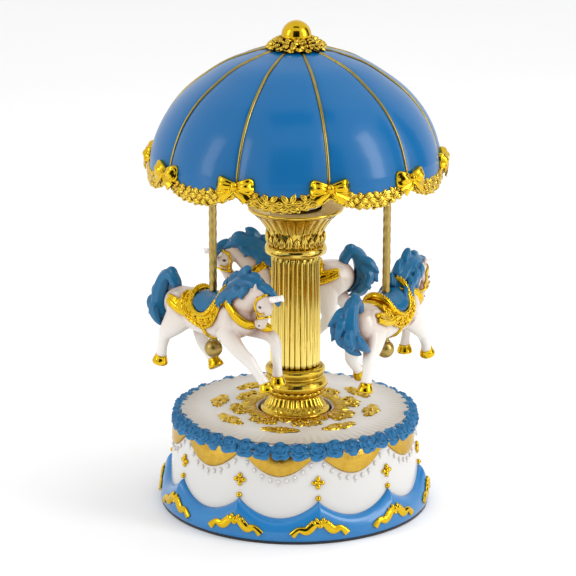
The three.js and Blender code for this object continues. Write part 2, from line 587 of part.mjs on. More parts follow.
const BALL_R = 4.2;
const BALL_Z = 79.4;
for (const rider of RIDERS) {
  const [x, y] = poleSpot(rider);
  const pole = rod(POLE_R, BALL_Z + rider.drop + GAP, POLE_TOP, 12);
  place(`pole_${rider.id}`, pole.translate(x, y, 0), ANTIQUE_BRASS);

  const nut = solid(rod(3.6, RIM_Z + 2.4, RIM_Z + 5.4, 6)).subtract(solid(rod(POLE_R + GAP, 160, 170, 8)));
  place(`pole_nut_${rider.id}`, nut.translate([x, y, 0]), STEEL);

  const ball = solid(new THREE.SphereGeometry(BALL_R, 12, 8).rotateX(Math.PI / 2))
    .subtract(solid(rod(POLE_R + GAP, 0, BALL_R + 1, 8)));
  place(`pole_ball_${rider.id}`, ball.translate([x, y, BALL_Z + rider.drop]), ANTIQUE_BRASS);

  const posed = horse.rotate([0, 0, rider.heading]).translate([x, y, rider.drop]);
  place(`horse_${rider.id}`, posed, PEARL_WHITE);
}

export default root;
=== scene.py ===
import math

import bmesh
import bpy
import numpy as np
from mathutils import Matrix, Vector
from mathutils.bvhtree import BVHTree


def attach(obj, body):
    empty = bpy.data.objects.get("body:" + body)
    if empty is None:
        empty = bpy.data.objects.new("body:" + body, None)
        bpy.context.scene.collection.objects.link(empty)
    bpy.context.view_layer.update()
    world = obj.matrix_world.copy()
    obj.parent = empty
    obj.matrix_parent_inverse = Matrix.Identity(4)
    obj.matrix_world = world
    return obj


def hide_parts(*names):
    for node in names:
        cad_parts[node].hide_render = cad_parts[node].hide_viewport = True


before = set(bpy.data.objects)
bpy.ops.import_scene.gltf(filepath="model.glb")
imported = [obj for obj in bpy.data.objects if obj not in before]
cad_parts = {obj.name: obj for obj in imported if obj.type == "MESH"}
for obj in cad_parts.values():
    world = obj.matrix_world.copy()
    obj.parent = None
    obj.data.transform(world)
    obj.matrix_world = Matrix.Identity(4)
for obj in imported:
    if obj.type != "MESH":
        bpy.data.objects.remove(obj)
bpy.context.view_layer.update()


# ---------------------------------------------------------------- floor, lights and camera
# The music box stands on a plain matt white sweep, between two tall soft boxes at its sides and a
# wide one overhead; black flags by the camera give the plated gold something dark to mirror.
def srgb(code):
    """A #RRGGBB colour as the linear RGBA that shaders take."""
    parts = [int(code[i:i + 2], 16) / 255 for i in (1, 3, 5)]
    return tuple(p / 12.92 if p <= 0.04045 else ((p + 0.055) / 1.055) ** 2.4 for p in parts) + (1.0,)


def node(tree, kind, inputs=None, **settings):
    """Adds a node: settings are its own properties, inputs its sockets' values or the sockets that feed them."""
    made = tree.nodes.new(kind)
    for name, value in settings.items():
        setattr(made, name, value)
    for name, value in (inputs or {}).items():
        if isinstance(value, bpy.types.NodeSocket):
            tree.links.new(value, made.inputs[name])
        else:
            made.inputs[name].default_value = value
    return made


def new_material(name):
    material = bpy.data.materials.new(name)
    material.use_nodes = True
    material.node_tree.nodes.clear()
    return material, material.node_tree


# Matt white vinyl sweep with a faint unevenness.
sweep_vinyl, tree = new_material("matt_white_vinyl")
grain = node(tree, "ShaderNodeTexNoise", {"Scale": 40.0, "Detail": 4.0})
tone = node(tree, "ShaderNodeMix", {0: grain.outputs["Fac"], 6: srgb("#F4F4F5"), 7: srgb("#FBFBFC")}, data_type="RGBA")
vinyl = node(tree, "ShaderNodeBsdfPrincipled", {"Base Color": tone.outputs[2], "Roughness": 0.7})
node(tree, "ShaderNodeOutputMaterial", {"Surface": vinyl.outputs[0]})

sweep_mesh = bpy.data.meshes.new("sweep")
sweep_mesh.from_pydata([(-8, -4, 0), (8, -4, 0), (8, 14, 0), (-8, 14, 0)], [], [(0, 1, 2, 3)])
sweep = bpy.data.objects.new("sweep", sweep_mesh)
sweep_mesh.materials.append(sweep_vinyl)
bpy.context.collection.objects.link(sweep)


def soft_box(name, azimuth, height, distance, size, watts):
    """An area lamp at that azimuth from the front, turned to the middle of the music box."""
    lamp = bpy.data.lights.new(name, "AREA")
    lamp.shape = "RECTANGLE"
    lamp.size, lamp.size_y = size
    lamp.energy = watts
    holder = bpy.data.objects.new(name, lamp)
    a = math.radians(azimuth)
    holder.location = (distance * math.sin(a), -distance * math.cos(a), height)
    aim = Vector((0, 0, 0.13)) - holder.location
    holder.rotation_euler = aim.to_track_quat("-Z", "Y").to_euler()
    bpy.context.collection.objects.link(holder)
    return holder


soft_box("soft_box_left", -66, 0.5, 1.1, (0.3, 0.9), 3.2)
soft_box("soft_box_right", 68, 0.6, 1.0, (0.32, 0.9), 5.0)
soft_box("soft_box_top", 120, 1.4, 0.6, (0.6, 0.6), 3.4).visible_glossy = False

black_cloth, tree = new_material("black_duvetyne")
weave = node(tree, "ShaderNodeTexNoise", {"Scale": 300.0})
shade = node(tree, "ShaderNodeMix", {0: weave.outputs["Fac"], 6: srgb("#060606"), 7: srgb("#0C0C0C")}, data_type="RGBA")
cloth = node(tree, "ShaderNodeBsdfPrincipled", {"Base Color": shade.outputs[2], "Roughness": 1.0})
node(tree, "ShaderNodeOutputMaterial", {"Surface": cloth.outputs[0]})


def flag(name, corners):
    """A black cloth hung where only the polished parts can mirror it."""
    mesh = bpy.data.meshes.new(name)
    mesh.from_pydata(corners, [], [(0, 1, 2, 3)])
    mesh.materials.append(black_cloth)
    hung = bpy.data.objects.new(name, mesh)
    hung.visible_camera = False
    hung.visible_shadow = False
    hung.visible_diffuse = False
    bpy.context.collection.objects.link(hung)


flag("flag_front", [(-0.62, -1.35, 0.05), (0.62, -1.35, 0.05), (0.62, -1.15, 1.25), (-0.62, -1.15, 1.25)])
flag("flag_left", [(-1.1, -0.35, 0.1), (-1.0, -0.75, 0.1), (-1.0, -0.75, 1.1), (-1.1, -0.35, 1.1)])
flag("flag_right", [(1.1, 0.1, 0.1), (1.1, 0.5, 0.1), (1.1, 0.5, 1.1), (1.1, 0.1, 1.1)])
flag("flag_top", [(-0.35, -0.45, 1.2), (0.35, -0.45, 1.2), (0.35, -0.15, 1.2), (-0.35, -0.15, 1.2)])

studio = bpy.data.worlds.new("studio")
studio.use_nodes = True
studio.node_tree.nodes["Background"].inputs["Color"].default_value = srgb("#FFFFFF")
studio.node_tree.nodes["Background"].inputs["Strength"].default_value = 0.93
bpy.context.scene.world = studio
bpy.context.scene.view_settings.view_transform = "Standard"

lens = bpy.data.cameras.new("camera")
lens.sensor_width = 36.0
lens.lens = 153.95
lens.clip_end = 40.0
camera = bpy.data.objects.new("camera", lens)
camera.matrix_world = (
    Matrix.Translation((-0.003459, -1.09994, 0.415157))
    @ Matrix.Rotation(math.radians(74.132), 4, "X")
    @ Matrix.Rotation(math.radians(0.159), 4, "Z")
)
bpy.context.collection.objects.link(camera)
bpy.context.scene.camera = camera


# ---------------------------------------------------------------- base casting
# The base is one hollow casting in white resin under a clear gloss lacquer: an upright drum wall
# and a flat deck with a round hole for the foot of the column. It is cast in a rubber mould.
MM = 0.001
PANEL = math.radians(36)
BASE_TURN = math.radians(10.34)
RNG = np.random.default_rng(7)


def spline(points, count):
    """count points along a smooth curve through the given ones (Catmull-Rom)."""
    p = np.asarray(points, float)
    p = np.vstack([2 * p[0] - p[1], p, 2 * p[-1] - p[-2]])
    t = np.linspace(0, len(p) - 3 - 1e-9, count)
    i = t.astype(int)
    f = (t - i)[:, None]
    a, b, c, d = p[i], p[i + 1], p[i + 2], p[i + 3]
    return 0.5 * (2 * b + (c - a) * f + (2 * a - 5 * b + 4 * c - d) * f**2 + (3 * b - a - 3 * c + d) * f**3)


def polyline(points, step):
    """The straight segments through points, divided so that no piece is longer than step."""
    p = np.asarray(points, float)
    out = [p[0]]
    for a, b in zip(p[:-1], p[1:]):
        n = max(1, int(np.linalg.norm(b - a) / step))
        out += [a + (b - a) * k / n for k in range(1, n + 1)]
    return np.array(out)


def smooth(obj, angle=40):
    obj.data.shade_smooth()
    if angle:
        obj.data.set_sharp_from_angle(angle=math.radians(angle))
    return obj


def piece(name, vertices, faces, material, body, nodes, slot, angle=40):
    """A finished piece from vertices in mm: its material, the body it rides and the nodes it stands for."""
    mesh = bpy.data.meshes.new(name)
    mesh.from_pydata((np.asarray(vertices) * MM).tolist(), [], faces)
    shape = bmesh.new()
    shape.from_mesh(mesh)
    bmesh.ops.remove_doubles(shape, verts=shape.verts, dist=1e-7)
    bmesh.ops.dissolve_degenerate(shape, dist=1e-8, edges=shape.edges)
    bmesh.ops.recalc_face_normals(shape, faces=shape.faces)
    shape.to_mesh(mesh)
    shape.free()
    mesh.materials.append(material)
    made = bpy.data.objects.new(name, mesh)
    bpy.context.collection.objects.link(made)
    smooth(made, angle)
    return settle(made, body, nodes)


def settle(made, body, nodes):
    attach(made, body)
    if nodes:
        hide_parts(*nodes)
    return made


def lattice(grid, wrap_u=False, wrap_v=False, start=0):
    """Vertices and quads of a grid of points; wrap_u and wrap_v join its first and last row or column."""
    nu, nv = grid.shape[:2]
    index = np.arange(nu * nv).reshape(nu, nv) + start
    if wrap_u:
        index = np.vstack([index, index[:1]])
    if wrap_v:
        index = np.hstack([index, index[:, :1]])
    a, b, c, d = index[:-1, :-1], index[1:, :-1], index[1:, 1:], index[:-1, 1:]
    faces = np.stack([a, b, c, d], -1).reshape(-1, 4)
    return grid.reshape(-1, 3), [tuple(f) for f in faces.tolist()]


def gather(parts):
    """Several (vertices, faces) as one."""
    vertices, faces, start = [], [], 0
    for v, f in parts:
        vertices.append(np.asarray(v))
        faces += [tuple(i + start for i in face) for face in f]
        start += len(v)
    return np.vstack(vertices), faces


def turned(profile, segments, relief=None, span=None):
    """The points of a profile (r, z) turned round the spindle. relief(angle, r, z) gives the changed r and z."""
    profile = np.asarray(profile, float)
    low, high = span or (0, 2 * math.pi)
    angle = np.linspace(low, high, segments, endpoint=span is not None)[:, None]
    r = np.broadcast_to(profile[:, 0], (segments, len(profile)))
    z = np.broadcast_to(profile[:, 1], (segments, len(profile)))
    if relief:
        r, z = relief(angle, r, z)
    return np.stack([r * np.sin(angle), -r * np.cos(angle), z], -1)


def at_wall(angle, r, z):
    return np.array([r * math.sin(angle), -r * math.cos(angle), z])


# Lacquered cast resin: hard and glossy, with a soft waviness left by spraying.
white_lacquer, tree = new_material("white_gloss_lacquer")
place = node(tree, "ShaderNodeTexCoord")
ripple = node(tree, "ShaderNodeTexNoise", {"Vector": place.outputs["Object"], "Scale": 160.0, "Detail": 3.0})
# Painted shade: the occlusion mask below darkens the white to a warm grey in the hollows and where parts meet the wall.
hollow = node(tree, "ShaderNodeAmbientOcclusion", {"Distance": 3.5 * MM, "Color": (1, 1, 1, 1)}, samples=6)
painted_shade_factor = node(tree, "ShaderNodeMapRange", {"Value": hollow.outputs["AO"], "From Min": 0.35, "From Max": 0.95})
tone = node(tree, "ShaderNodeMix", {0: painted_shade_factor.outputs[0], 6: srgb("#B5ABA2"), 7: srgb("#D1D0CD")}, data_type="RGBA")
bump = node(tree, "ShaderNodeBump", {"Height": ripple.outputs["Fac"], "Strength": 0.12, "Distance": 0.3 * MM})
resin = node(tree, "ShaderNodeBsdfPrincipled", {
    "Base Color": tone.outputs[2], "Roughness": 0.24, "IOR": 1.5, "Normal": bump.outputs[0],
    "Coat Weight": 0.5, "Coat Roughness": 0.06,
})
node(tree, "ShaderNodeOutputMaterial", {"Surface": resin.outputs[0]})

WALL = np.array([[58.6, 6], [58.5, 12], [58.2, 20], [57.6, 26], [56.9, 32], [56.2, 37], [55.6, 41]])


def wall_r(z):
    return np.interp(z, WALL[:, 1], WALL[:, 0])


casting_profile = polyline(np.vstack([
    [[57.2, 1.3], [60.4, 1.3], [60.2, 5]], WALL,
    [[54.6, 43.6], [53, 44.3], [17.9, 44.3], [17.4, 43.9], [17.4, 42], [51.5, 42], [56.6, 16], [57.2, 1.3]],
]), 4.0)[:-1]
piece("base_casting", *lattice(turned(casting_profile, 180), True, True), white_lacquer, "base", ["base_shell"], "white_glaze", 30)


# ---------------------------------------------------------------- deck
# The flat top of the base is a separate moulded disc with fine radial flutes that fade out
# towards the middle. It is white, with warm grey wiped into the flutes under the roses; the browning in its hollows and
# round the parts standing on it is painted shade.
deck_white, tree = new_material("white_lacquer_grey_wash_and_painted_shade")
place = node(tree, "ShaderNodeTexCoord")
split = node(tree, "ShaderNodeSeparateXYZ", {"Vector": place.outputs["Object"]})
flat = node(tree, "ShaderNodeCombineXYZ", {"X": split.outputs["X"], "Y": split.outputs["Y"]})
reach = node(tree, "ShaderNodeVectorMath", {0: flat.outputs[0]}, operation="LENGTH")
rim = node(tree, "ShaderNodeMapRange", {"Value": reach.outputs["Value"], "From Min": 40 * MM, "From Max": 52 * MM})
# Painted shade: the occlusion mask below browns the hollows and the deck round the foot and reliefs, added to the grey
# wash towards the rim.
hollow = node(tree, "ShaderNodeAmbientOcclusion", {"Distance": 2.5 * MM}, samples=6)
closed = node(tree, "ShaderNodeMath", {0: 1.0, 1: hollow.outputs["AO"]}, operation="SUBTRACT")
wiped = node(tree, "ShaderNodeMath", {0: rim.outputs[0], 1: 0.55}, operation="MULTIPLY")
grey_wash_and_painted_shade = node(tree, "ShaderNodeMath", {0: closed.outputs[0], 1: wiped.outputs[0]}, operation="ADD", use_clamp=True)
tone = node(tree, "ShaderNodeMix", {0: grey_wash_and_painted_shade.outputs[0], 6: srgb("#DCD9D5"), 7: srgb("#A09280")}, data_type="RGBA")
ripple = node(tree, "ShaderNodeTexNoise", {"Vector": place.outputs["Object"], "Scale": 220.0, "Detail": 3.0})
bump = node(tree, "ShaderNodeBump", {"Height": ripple.outputs["Fac"], "Strength": 0.15, "Distance": 0.3 * MM})
resin = node(tree, "ShaderNodeBsdfPrincipled", {
    "Base Color": tone.outputs[2], "Roughness": 0.35, "IOR": 1.5, "Normal": bump.outputs[0], "Coat Weight": 0.25,
})
node(tree, "ShaderNodeOutputMaterial", {"Surface": resin.outputs[0]})

FLUTES_ON_DECK = 90


def deck_flutes(angle, r, z):
    strength = np.clip((r - 41) / 9, 0, 1) * np.where(z > 44.4, 1, 0)
    return r, z - 0.3 * strength * (0.5 + 0.5 * np.cos(FLUTES_ON_DECK * angle))


deck_profile = polyline([[17.5, 44.4], [17.5, 44.7], [17.8, 44.95], [18.5, 45], [53.5, 45], [53.5, 44.4], [17.5, 44.4]], 1.6)[:-1]
piece("deck", *lattice(turned(deck_profile, 720, deck_flutes), True, True), deck_white, "base", ["base_shell"], "white_glaze", 60)


# ---------------------------------------------------------------- skirt
# Below the drum the casting flares into a cushion-shaped skirt whose upper lip runs in ten
# scallops between ten peaks. It is sprayed sky blue over the white and lacquered.
skirt_blue, tree = new_material("sky_blue_gloss_lacquer")
place = node(tree, "ShaderNodeTexCoord")
cloud = node(tree, "ShaderNodeTexNoise", {"Vector": place.outputs["Object"], "Scale": 60.0, "Detail": 4.0})
tone = node(tree, "ShaderNodeMix", {0: cloud.outputs["Fac"], 6: srgb("#0E6AAA"), 7: srgb("#207CB8")}, data_type="RGBA")
bump = node(tree, "ShaderNodeBump", {"Height": cloud.outputs["Fac"], "Strength": 0.2, "Distance": 0.4 * MM})
paint = node(tree, "ShaderNodeBsdfPrincipled", {
    "Base Color": tone.outputs[2], "Roughness": 0.28, "IOR": 1.5, "Specular IOR Level": 0.35, "Normal": bump.outputs[0],
    "Coat Weight": 0.5, "Coat Roughness": 0.08,
})
node(tree, "ShaderNodeOutputMaterial", {"Surface": paint.outputs[0]})

SKIRT_R = 63.4


def scallop(angle):
    """0 at a peak and 1 at the middle of a scallop."""
    return np.abs(np.sin((angle - BASE_TURN) * math.pi / PANEL))


def skirt_top(angle):
    return 19.2 - 8.4 * np.power(scallop(angle), 0.75)


def skirt_grid(segments, rows):
    angle = np.linspace(0, 2 * math.pi, segments, endpoint=False)[:, None]
    top = skirt_top(angle)
    inner = wall_r(top) - 0.5
    t = np.linspace(0, math.pi / 2, rows)[None, :]
    r = inner + (SKIRT_R - inner) * np.sin(t) ** 0.9
    z = top - (top - 3.6) * (1 - np.cos(t))
    r = np.hstack([inner - 1.2 + 0 * top, r, SKIRT_R + 0 * top, SKIRT_R - 0.4 + 0 * top, 59.8 + 0 * top])
    z = np.hstack([top - 1.0, z, 1.7 + 0 * top, 1.3 + 0 * top, 1.3 + 0 * top])
    return np.stack([r * np.sin(angle), -r * np.cos(angle), z], -1)


piece("skirt", *lattice(skirt_grid(720, 22), True, True), skirt_blue, "base", ["base_shell"], "blue_paint", 50)


# ---------------------------------------------------------------- felt
# A ring of black wool felt is glued under the rim so that the base doesn't scratch the shelf.
black_felt, tree = new_material("black_wool_felt")
place = node(tree, "ShaderNodeTexCoord")
fibre = node(tree, "ShaderNodeTexNoise", {"Vector": place.outputs["Object"], "Scale": 2500.0, "Detail": 5.0})
tone = node(tree, "ShaderNodeMix", {0: fibre.outputs["Fac"], 6: srgb("#0E0E12"), 7: srgb("#2C2C34")}, data_type="RGBA")
bump = node(tree, "ShaderNodeBump", {"Height": fibre.outputs["Fac"], "Strength": 0.8, "Distance": 0.3 * MM})
wool = node(tree, "ShaderNodeBsdfPrincipled", {
    "Base Color": tone.outputs[2], "Roughness": 0.95, "Normal": bump.outputs[0], "Sheen Weight": 0.4,
})
node(tree, "ShaderNodeOutputMaterial", {"Surface": wool.outputs[0]})

felt_profile = spline([[57, 0.45], [57.3, 0.05], [60, 0], [62.8, 0.05], [63.1, 0.5], [62.8, 1.0], [60, 1.1], [57.3, 1.0], [57, 0.45]], 25)[:-1]
piece("felt_pad", *lattice(turned(felt_profile, 180), True, True), black_felt, "base", ["felt_ring"], "black_felt")


# ---------------------------------------------------------------- gold swags and bead drops
# Ten shallow half-moon swags are cast proud of the wall under the roses and gilded with leaf gold
# paint; a row of little white pearls hangs below each.
gilding, tree = new_material("satin_gilding")
place = node(tree, "ShaderNodeTexCoord")
brush = node(tree, "ShaderNodeTexNoise", {"Vector": place.outputs["Object"], "Scale": 260.0, "Detail": 5.0, "Distortion": 0.6})
tone = node(tree, "ShaderNodeMix", {0: brush.outputs["Fac"], 6: srgb("#AE8423"), 7: srgb("#DDB752")}, data_type="RGBA")
rough = node(tree, "ShaderNodeMapRange", {"Value": brush.outputs["Fac"], "To Min": 0.17, "To Max": 0.3})
bump = node(tree, "ShaderNodeBump", {"Height": brush.outputs["Fac"], "Strength": 0.35, "Distance": 0.3 * MM})
gilt = node(tree, "ShaderNodeBsdfPrincipled", {
    "Base Color": tone.outputs[2], "Metallic": 1.0, "Roughness": rough.outputs[0], "Normal": bump.outputs[0],
})
node(tree, "ShaderNodeOutputMaterial", {"Surface": gilt.outputs[0]})

SWAG_HALF = math.radians(16.6)


def swag_edge(offset):
    return 30.0 + 9.4 * np.power(np.abs(offset) / SWAG_HALF, 1.9)


swag_parts, pearl_parts = [], []


def ball(centre, radii, rings=8, turn=None):
    """Vertices and faces of a rounded bead with those half sizes."""
    u = np.linspace(0, 2 * math.pi, 2 * rings, endpoint=False)[:, None]
    v = np.linspace(0, math.pi, rings + 1)[None, :]
    grid = np.stack([np.cos(u) * np.sin(v), np.sin(u) * np.sin(v), np.cos(v) + 0 * u], -1) * np.asarray(radii)
    if turn is not None:
        grid = grid @ np.asarray(turn).T
    return lattice(grid + np.asarray(centre), True, False)


for k in range(10):
    middle = BASE_TURN + PANEL * (k + 0.5)
    offset = np.linspace(-SWAG_HALF, SWAG_HALF, 41)[:, None]
    low = swag_edge(offset)
    loop = np.linspace(0, 1, 19)[None, :]
    z = low + (41.5 - low) * loop
    edge = np.minimum(np.minimum((z - low), (SWAG_HALF - np.abs(offset)) * 56), 0.9) / 0.9
    belly = 0.75 * np.sin(math.pi * np.clip((z - low) / 12, 0, 1)) * np.cos(offset / SWAG_HALF * math.pi / 2)
    r = wall_r(z) + 0.05 + (0.85 + belly) * np.sqrt(np.clip(edge, 0, 1))
    face = np.stack([r * np.sin(middle + offset), -r * np.cos(middle + offset), z], -1)
    back_r = wall_r(z) - 0.6
    back = np.stack([back_r * np.sin(middle + offset), -back_r * np.cos(middle + offset), z], -1)
    swag_parts.append(lattice(np.hstack([face, back[:, ::-1]]), False, True))
    for j in range(9):
        along = SWAG_HALF * 0.9 * (j - 4) / 4
        z_bead = swag_edge(along) - 2.1
        tall = 1.25 if j % 2 else 1.0
        pearl_parts.append(ball(at_wall(middle + along, wall_r(z_bead) + 0.2, z_bead), (0.85, 0.85, 0.85 * tall), 8))
        if j % 2 == 0:
            pearl_parts.append(ball(at_wall(middle + along, wall_r(z_bead) + 0.1, z_bead - 1.7), (0.5, 0.5, 0.75), 6))
piece("gold_swags", *gather(swag_parts), gilding, "base", ["base_shell"], "plated_gold", 60)
# The beads get a copy of the white lacquer whose painted shade reaches only 0.5 mm into the hollows.
bead_white = white_lacquer.copy()
bead_white.name = "white_gloss_lacquer_on_beads"
bead_white.node_tree.nodes["Ambient Occlusion"].inputs["Distance"].default_value = 0.5 * MM
piece("pearl_drops", *gather(pearl_parts), bead_white, "base", ["base_shell"], "white_glaze", 60)


# ---------------------------------------------------------------- plated ornaments on the wall
# Small electroplated pieces pinned to the wall at every peak: a four-petalled floret, a round stud
# below it, and on the skirt a ribbon with curled leaves at its knot.
bright_gold, tree = new_material("bright_gold_electroplate")
place = node(tree, "ShaderNodeTexCoord")
stain = node(tree, "ShaderNodeTexNoise", {"Vector": place.outputs["Object"], "Scale": 180.0, "Detail": 3.0})
tone = node(tree, "ShaderNodeMix", {0: stain.outputs["Fac"], 6: srgb("#CCA010"), 7: srgb("#F0CA30")}, data_type="RGBA")
rough = node(tree, "ShaderNodeMapRange", {"Value": stain.outputs["Fac"], "To Min": 0.08, "To Max": 0.2})
bump = node(tree, "ShaderNodeBump", {"Height": stain.outputs["Fac"], "Strength": 0.12, "Distance": 0.4 * MM})
plate = node(tree, "ShaderNodeBsdfPrincipled", {
    "Base Color": tone.outputs[2], "Metallic": 1.0, "Roughness": rough.outputs[0], "Normal": bump.outputs[0],
})
node(tree, "ShaderNodeOutputMaterial", {"Surface": plate.outputs[0]})


def frame_at(angle, lean=0.0):
    """Columns: round the wall, up it and out of it, at that angle; lean tips the outward direction up."""
    along = np.array([math.cos(angle), math.sin(angle), 0.0])
    out = np.array([math.sin(angle) * math.cos(lean), -math.cos(angle) * math.cos(lean), math.sin(lean)])
    return np.stack([along, np.cross(out, along), out], -1)


def tube(points, widths, depths, sides=10, normals=None, ends=True):
    """A closed tube of elliptical section along points, widths and depths being its half sizes."""
    p = np.asarray(points, float)
    n = len(p)
    widths = np.broadcast_to(np.asarray(widths, float), n)
    depths = np.broadcast_to(np.asarray(depths, float), n)
    ahead = np.gradient(p, axis=0)
    ahead /= np.linalg.norm(ahead, axis=1)[:, None] + 1e-12
    if normals is None:
        normals = np.tile([0.0, 0.0, 1.0], (n, 1))
    normals = np.broadcast_to(np.asarray(normals, float), (n, 3))
    across = np.cross(ahead, normals)
    across /= np.linalg.norm(across, axis=1)[:, None] + 1e-12
    up = np.cross(across, ahead)
    a = np.linspace(0, 2 * math.pi, sides, endpoint=False)
    rings = (p[:, None] + across[:, None] * (widths[:, None] * np.cos(a))[..., None]
             + up[:, None] * (depths[:, None] * np.sin(a))[..., None])
    vertices, faces = lattice(rings, False, True)
    if ends:
        vertices = np.vstack([vertices, p[:1], p[-1:]])
        first, last = n * sides, n * sides + 1
        for k in range(sides):
            faces.append((k, (k + 1) % sides, first))
            faces.append(((n - 1) * sides + (k + 1) % sides, (n - 1) * sides + k, last))
    return vertices, faces


floret_parts = []
for k in range(10):
    angle = BASE_TURN + PANEL * k
    turn = frame_at(angle, 0.06)
    centre = at_wall(angle, wall_r(27.4) + 0.35, 27.4)
    for q in range(4):
        a = math.pi / 2 * q
        petal = turn @ np.array([[math.cos(a), -math.sin(a), 0], [math.sin(a), math.cos(a), 0], [0, 0, 1]])
        floret_parts.append(ball(centre + petal @ np.array([1.75, 0, 0.1]), (1.35, 1.1, 0.85), 7, petal))
    floret_parts.append(ball(centre + turn[:, 2] * 0.3, (0.9, 0.9, 0.8), 7, turn))
    floret_parts.append(ball(at_wall(angle, wall_r(20.2) + 0.4, 20.2), (1.3, 1.3, 1.2), 8))
piece("wall_florets", *gather(floret_parts), bright_gold, "base", ["base_shell"], "plated_gold", 60)


def skirt_point(angle, z):
    """A point on the skirt's face at that angle and height, and the direction out of it."""
    top = float(skirt_top(angle))
    inner = float(wall_r(top)) - 0.5
    t = math.acos(min(1, max(0, 1 - (top - z) / (top - 3.6))))
    r = inner + (SKIRT_R - inner) * math.sin(t) ** 0.9
    lean = math.atan2((top - 3.6) * 0.0 + math.cos(t) * 4.5, math.sin(t) * (top - 3.6) * 0.6 + 0.5)
    return at_wall(angle, r, z), frame_at(angle, min(lean, 1.0))


ribbon_parts = []
for k in range(10):
    angle = BASE_TURN + PANEL * k
    for side in (-1, 1):
        line, out, wide = [], [], []
        for u in np.linspace(0, 1, 17):
            z = 9.4 - 4.4 * u**1.2 + 0.9 * math.sin(u * 10)
            spot, turn = skirt_point(angle + side * math.radians(11.5) * u, z)
            line.append(spot + turn[:, 2] * 0.45)
            out.append(turn[:, 2])
            wide.append(1.25 + 0.8 * math.sin(min(u * 1.3, 1) * math.pi) + 0.5 * max(0, u - 0.8) * 5)
        ribbon_parts.append(tube(spline(line, 25), np.interp(np.linspace(0, 1, 25), np.linspace(0, 1, 17), wide), 0.8, 12,
                                 spline(out, 25)))
    for j, (da, z, size, tip) in enumerate([
        (-2.6, 10.2, 1.5, 0.9), (-1.2, 11.3, 1.3, 0.4), (0.2, 10.0, 1.5, 0.0), (1.3, 11.2, 1.3, -0.4), (2.7, 10.1, 1.5, -0.9),
        (-4.2, 9.2, 1.1, 1.2), (4.2, 9.2, 1.1, -1.2), (0, 8.4, 1.2, 1.6),
    ]):
        spot, turn = skirt_point(angle + math.radians(da), z)
        spin = np.array([[math.cos(tip), -math.sin(tip), 0], [math.sin(tip), math.cos(tip), 0], [0, 0, 1]])
        ribbon_parts.append(ball(spot + turn[:, 2] * 0.5, (0.62 * size, 1.05 * size, 0.62 * size), 7, turn @ spin))
piece("skirt_ribbons", *gather(ribbon_parts), bright_gold, "base", ["base_shell"], "plated_gold", 60)


# ---------------------------------------------------------------- rose rim
# Forty-two little cabbage roses are pressed side by side round the rim, each of overlapping
# rolled petals, cast with the base and painted a deeper blue; the near-black blue in the creases between the petals is
# painted shade.
rose_blue, tree = new_material("hand_painted_rose_blue")
place = node(tree, "ShaderNodeTexCoord")
# Painted shade: the occlusion mask below turns the creases between the petals near-black blue.
hollow = node(tree, "ShaderNodeAmbientOcclusion", {"Distance": 1.5 * MM}, samples=6)
painted_shade_factor = node(tree, "ShaderNodeMapRange", {"Value": hollow.outputs["AO"], "From Min": 0.3, "From Max": 0.9})
cloud = node(tree, "ShaderNodeTexNoise", {"Vector": place.outputs["Object"], "Scale": 140.0, "Detail": 4.0})
light = node(tree, "ShaderNodeMix", {0: cloud.outputs["Fac"], 6: srgb("#1C6799"), 7: srgb("#3382B4")}, data_type="RGBA")
tone = node(tree, "ShaderNodeMix", {0: painted_shade_factor.outputs[0], 6: srgb("#06223F"), 7: light.outputs[2]}, data_type="RGBA")
bump = node(tree, "ShaderNodeBump", {"Height": cloud.outputs["Fac"], "Strength": 0.3, "Distance": 0.3 * MM})
paint = node(tree, "ShaderNodeBsdfPrincipled", {
    "Base Color": tone.outputs[2], "Roughness": 0.34, "IOR": 1.5, "Specular IOR Level": 0.3, "Normal": bump.outputs[0],
})
node(tree, "ShaderNodeOutputMaterial", {"Surface": paint.outputs[0]})

ROSES = 42


def rose(turn_by):
    """Points of one rose, 8 mm across, facing along +Z: three rounds of lapped petals and a rolled heart."""
    phi = np.linspace(0, 2 * math.pi, 56, endpoint=False)[:, None]
    rho = np.linspace(0, 1, 25)[None, :] ** 0.9
    height = 1.9 * np.sqrt(np.clip(1 - (rho * 0.97) ** 2, 0, 1))
    for petals, reach, step, shift in ((5, 0.82, 0.5, 0.0), (4, 0.56, 0.42, 0.8), (3, 0.3, 0.4, 1.9)):
        saw = np.mod((phi + turn_by) * petals / (2 * math.pi) + shift + 0.5 * rho, 1)
        edge = reach * (0.9 + 0.26 * np.sqrt(np.sin(math.pi * np.clip(saw * 0.96 + 0.02, 0, 1))))
        inside = 1 / (1 + np.exp((rho - edge) / 0.014))
        lip = np.exp(-((rho - edge + 0.06) / 0.055) ** 2)
        height = height + (step * inside + 0.5 * lip * (0.6 + saw) - 0.22) * (1 - 0.15 * rho)
    spread = 4.3 * rho * (0.93 + 0.12 * np.abs(np.cos((phi + turn_by) * 2.5)) * rho)
    grid = np.stack([spread * np.cos(phi), spread * np.sin(phi), height], -1)
    skirt = grid[:, -1:] * np.array([0.8, 0.8, 0]) + np.array([0, 0, -1.2])
    foot = grid[:, -1:] * np.array([0.0, 0.0, 0]) + np.array([0, 0, -2.0])
    return np.concatenate([grid, skirt, foot], 1)


rose_parts = [lattice(turned([[53.7 + 2.3 * math.cos(a), 41.0 + 2.6 * math.sin(a)] for a in np.linspace(0, 2 * math.pi, 13)[:-1]],
                             168), True, True)]
for k in range(ROSES):
    angle = 2 * math.pi * k / ROSES + 0.03
    lean = 0.74 + 0.26 * (RNG.random() - 0.5)
    turn = frame_at(angle + 0.02 * (RNG.random() - 0.5), lean)
    size = 0.99 + 0.1 * RNG.random()
    spot = at_wall(angle, 54.9 + 0.6 * (RNG.random() - 0.5), 41.5 + 0.9 * (RNG.random() - 0.5))
    grid = rose(RNG.random() * 6.28) * size * np.array([1.2, 0.98, 1.05])
    rose_parts.append(lattice(grid @ turn.T + spot, True, False))
piece("rose_rim", *gather(rose_parts), rose_blue, "base", ["base_shell"], "blue_paint", 70)


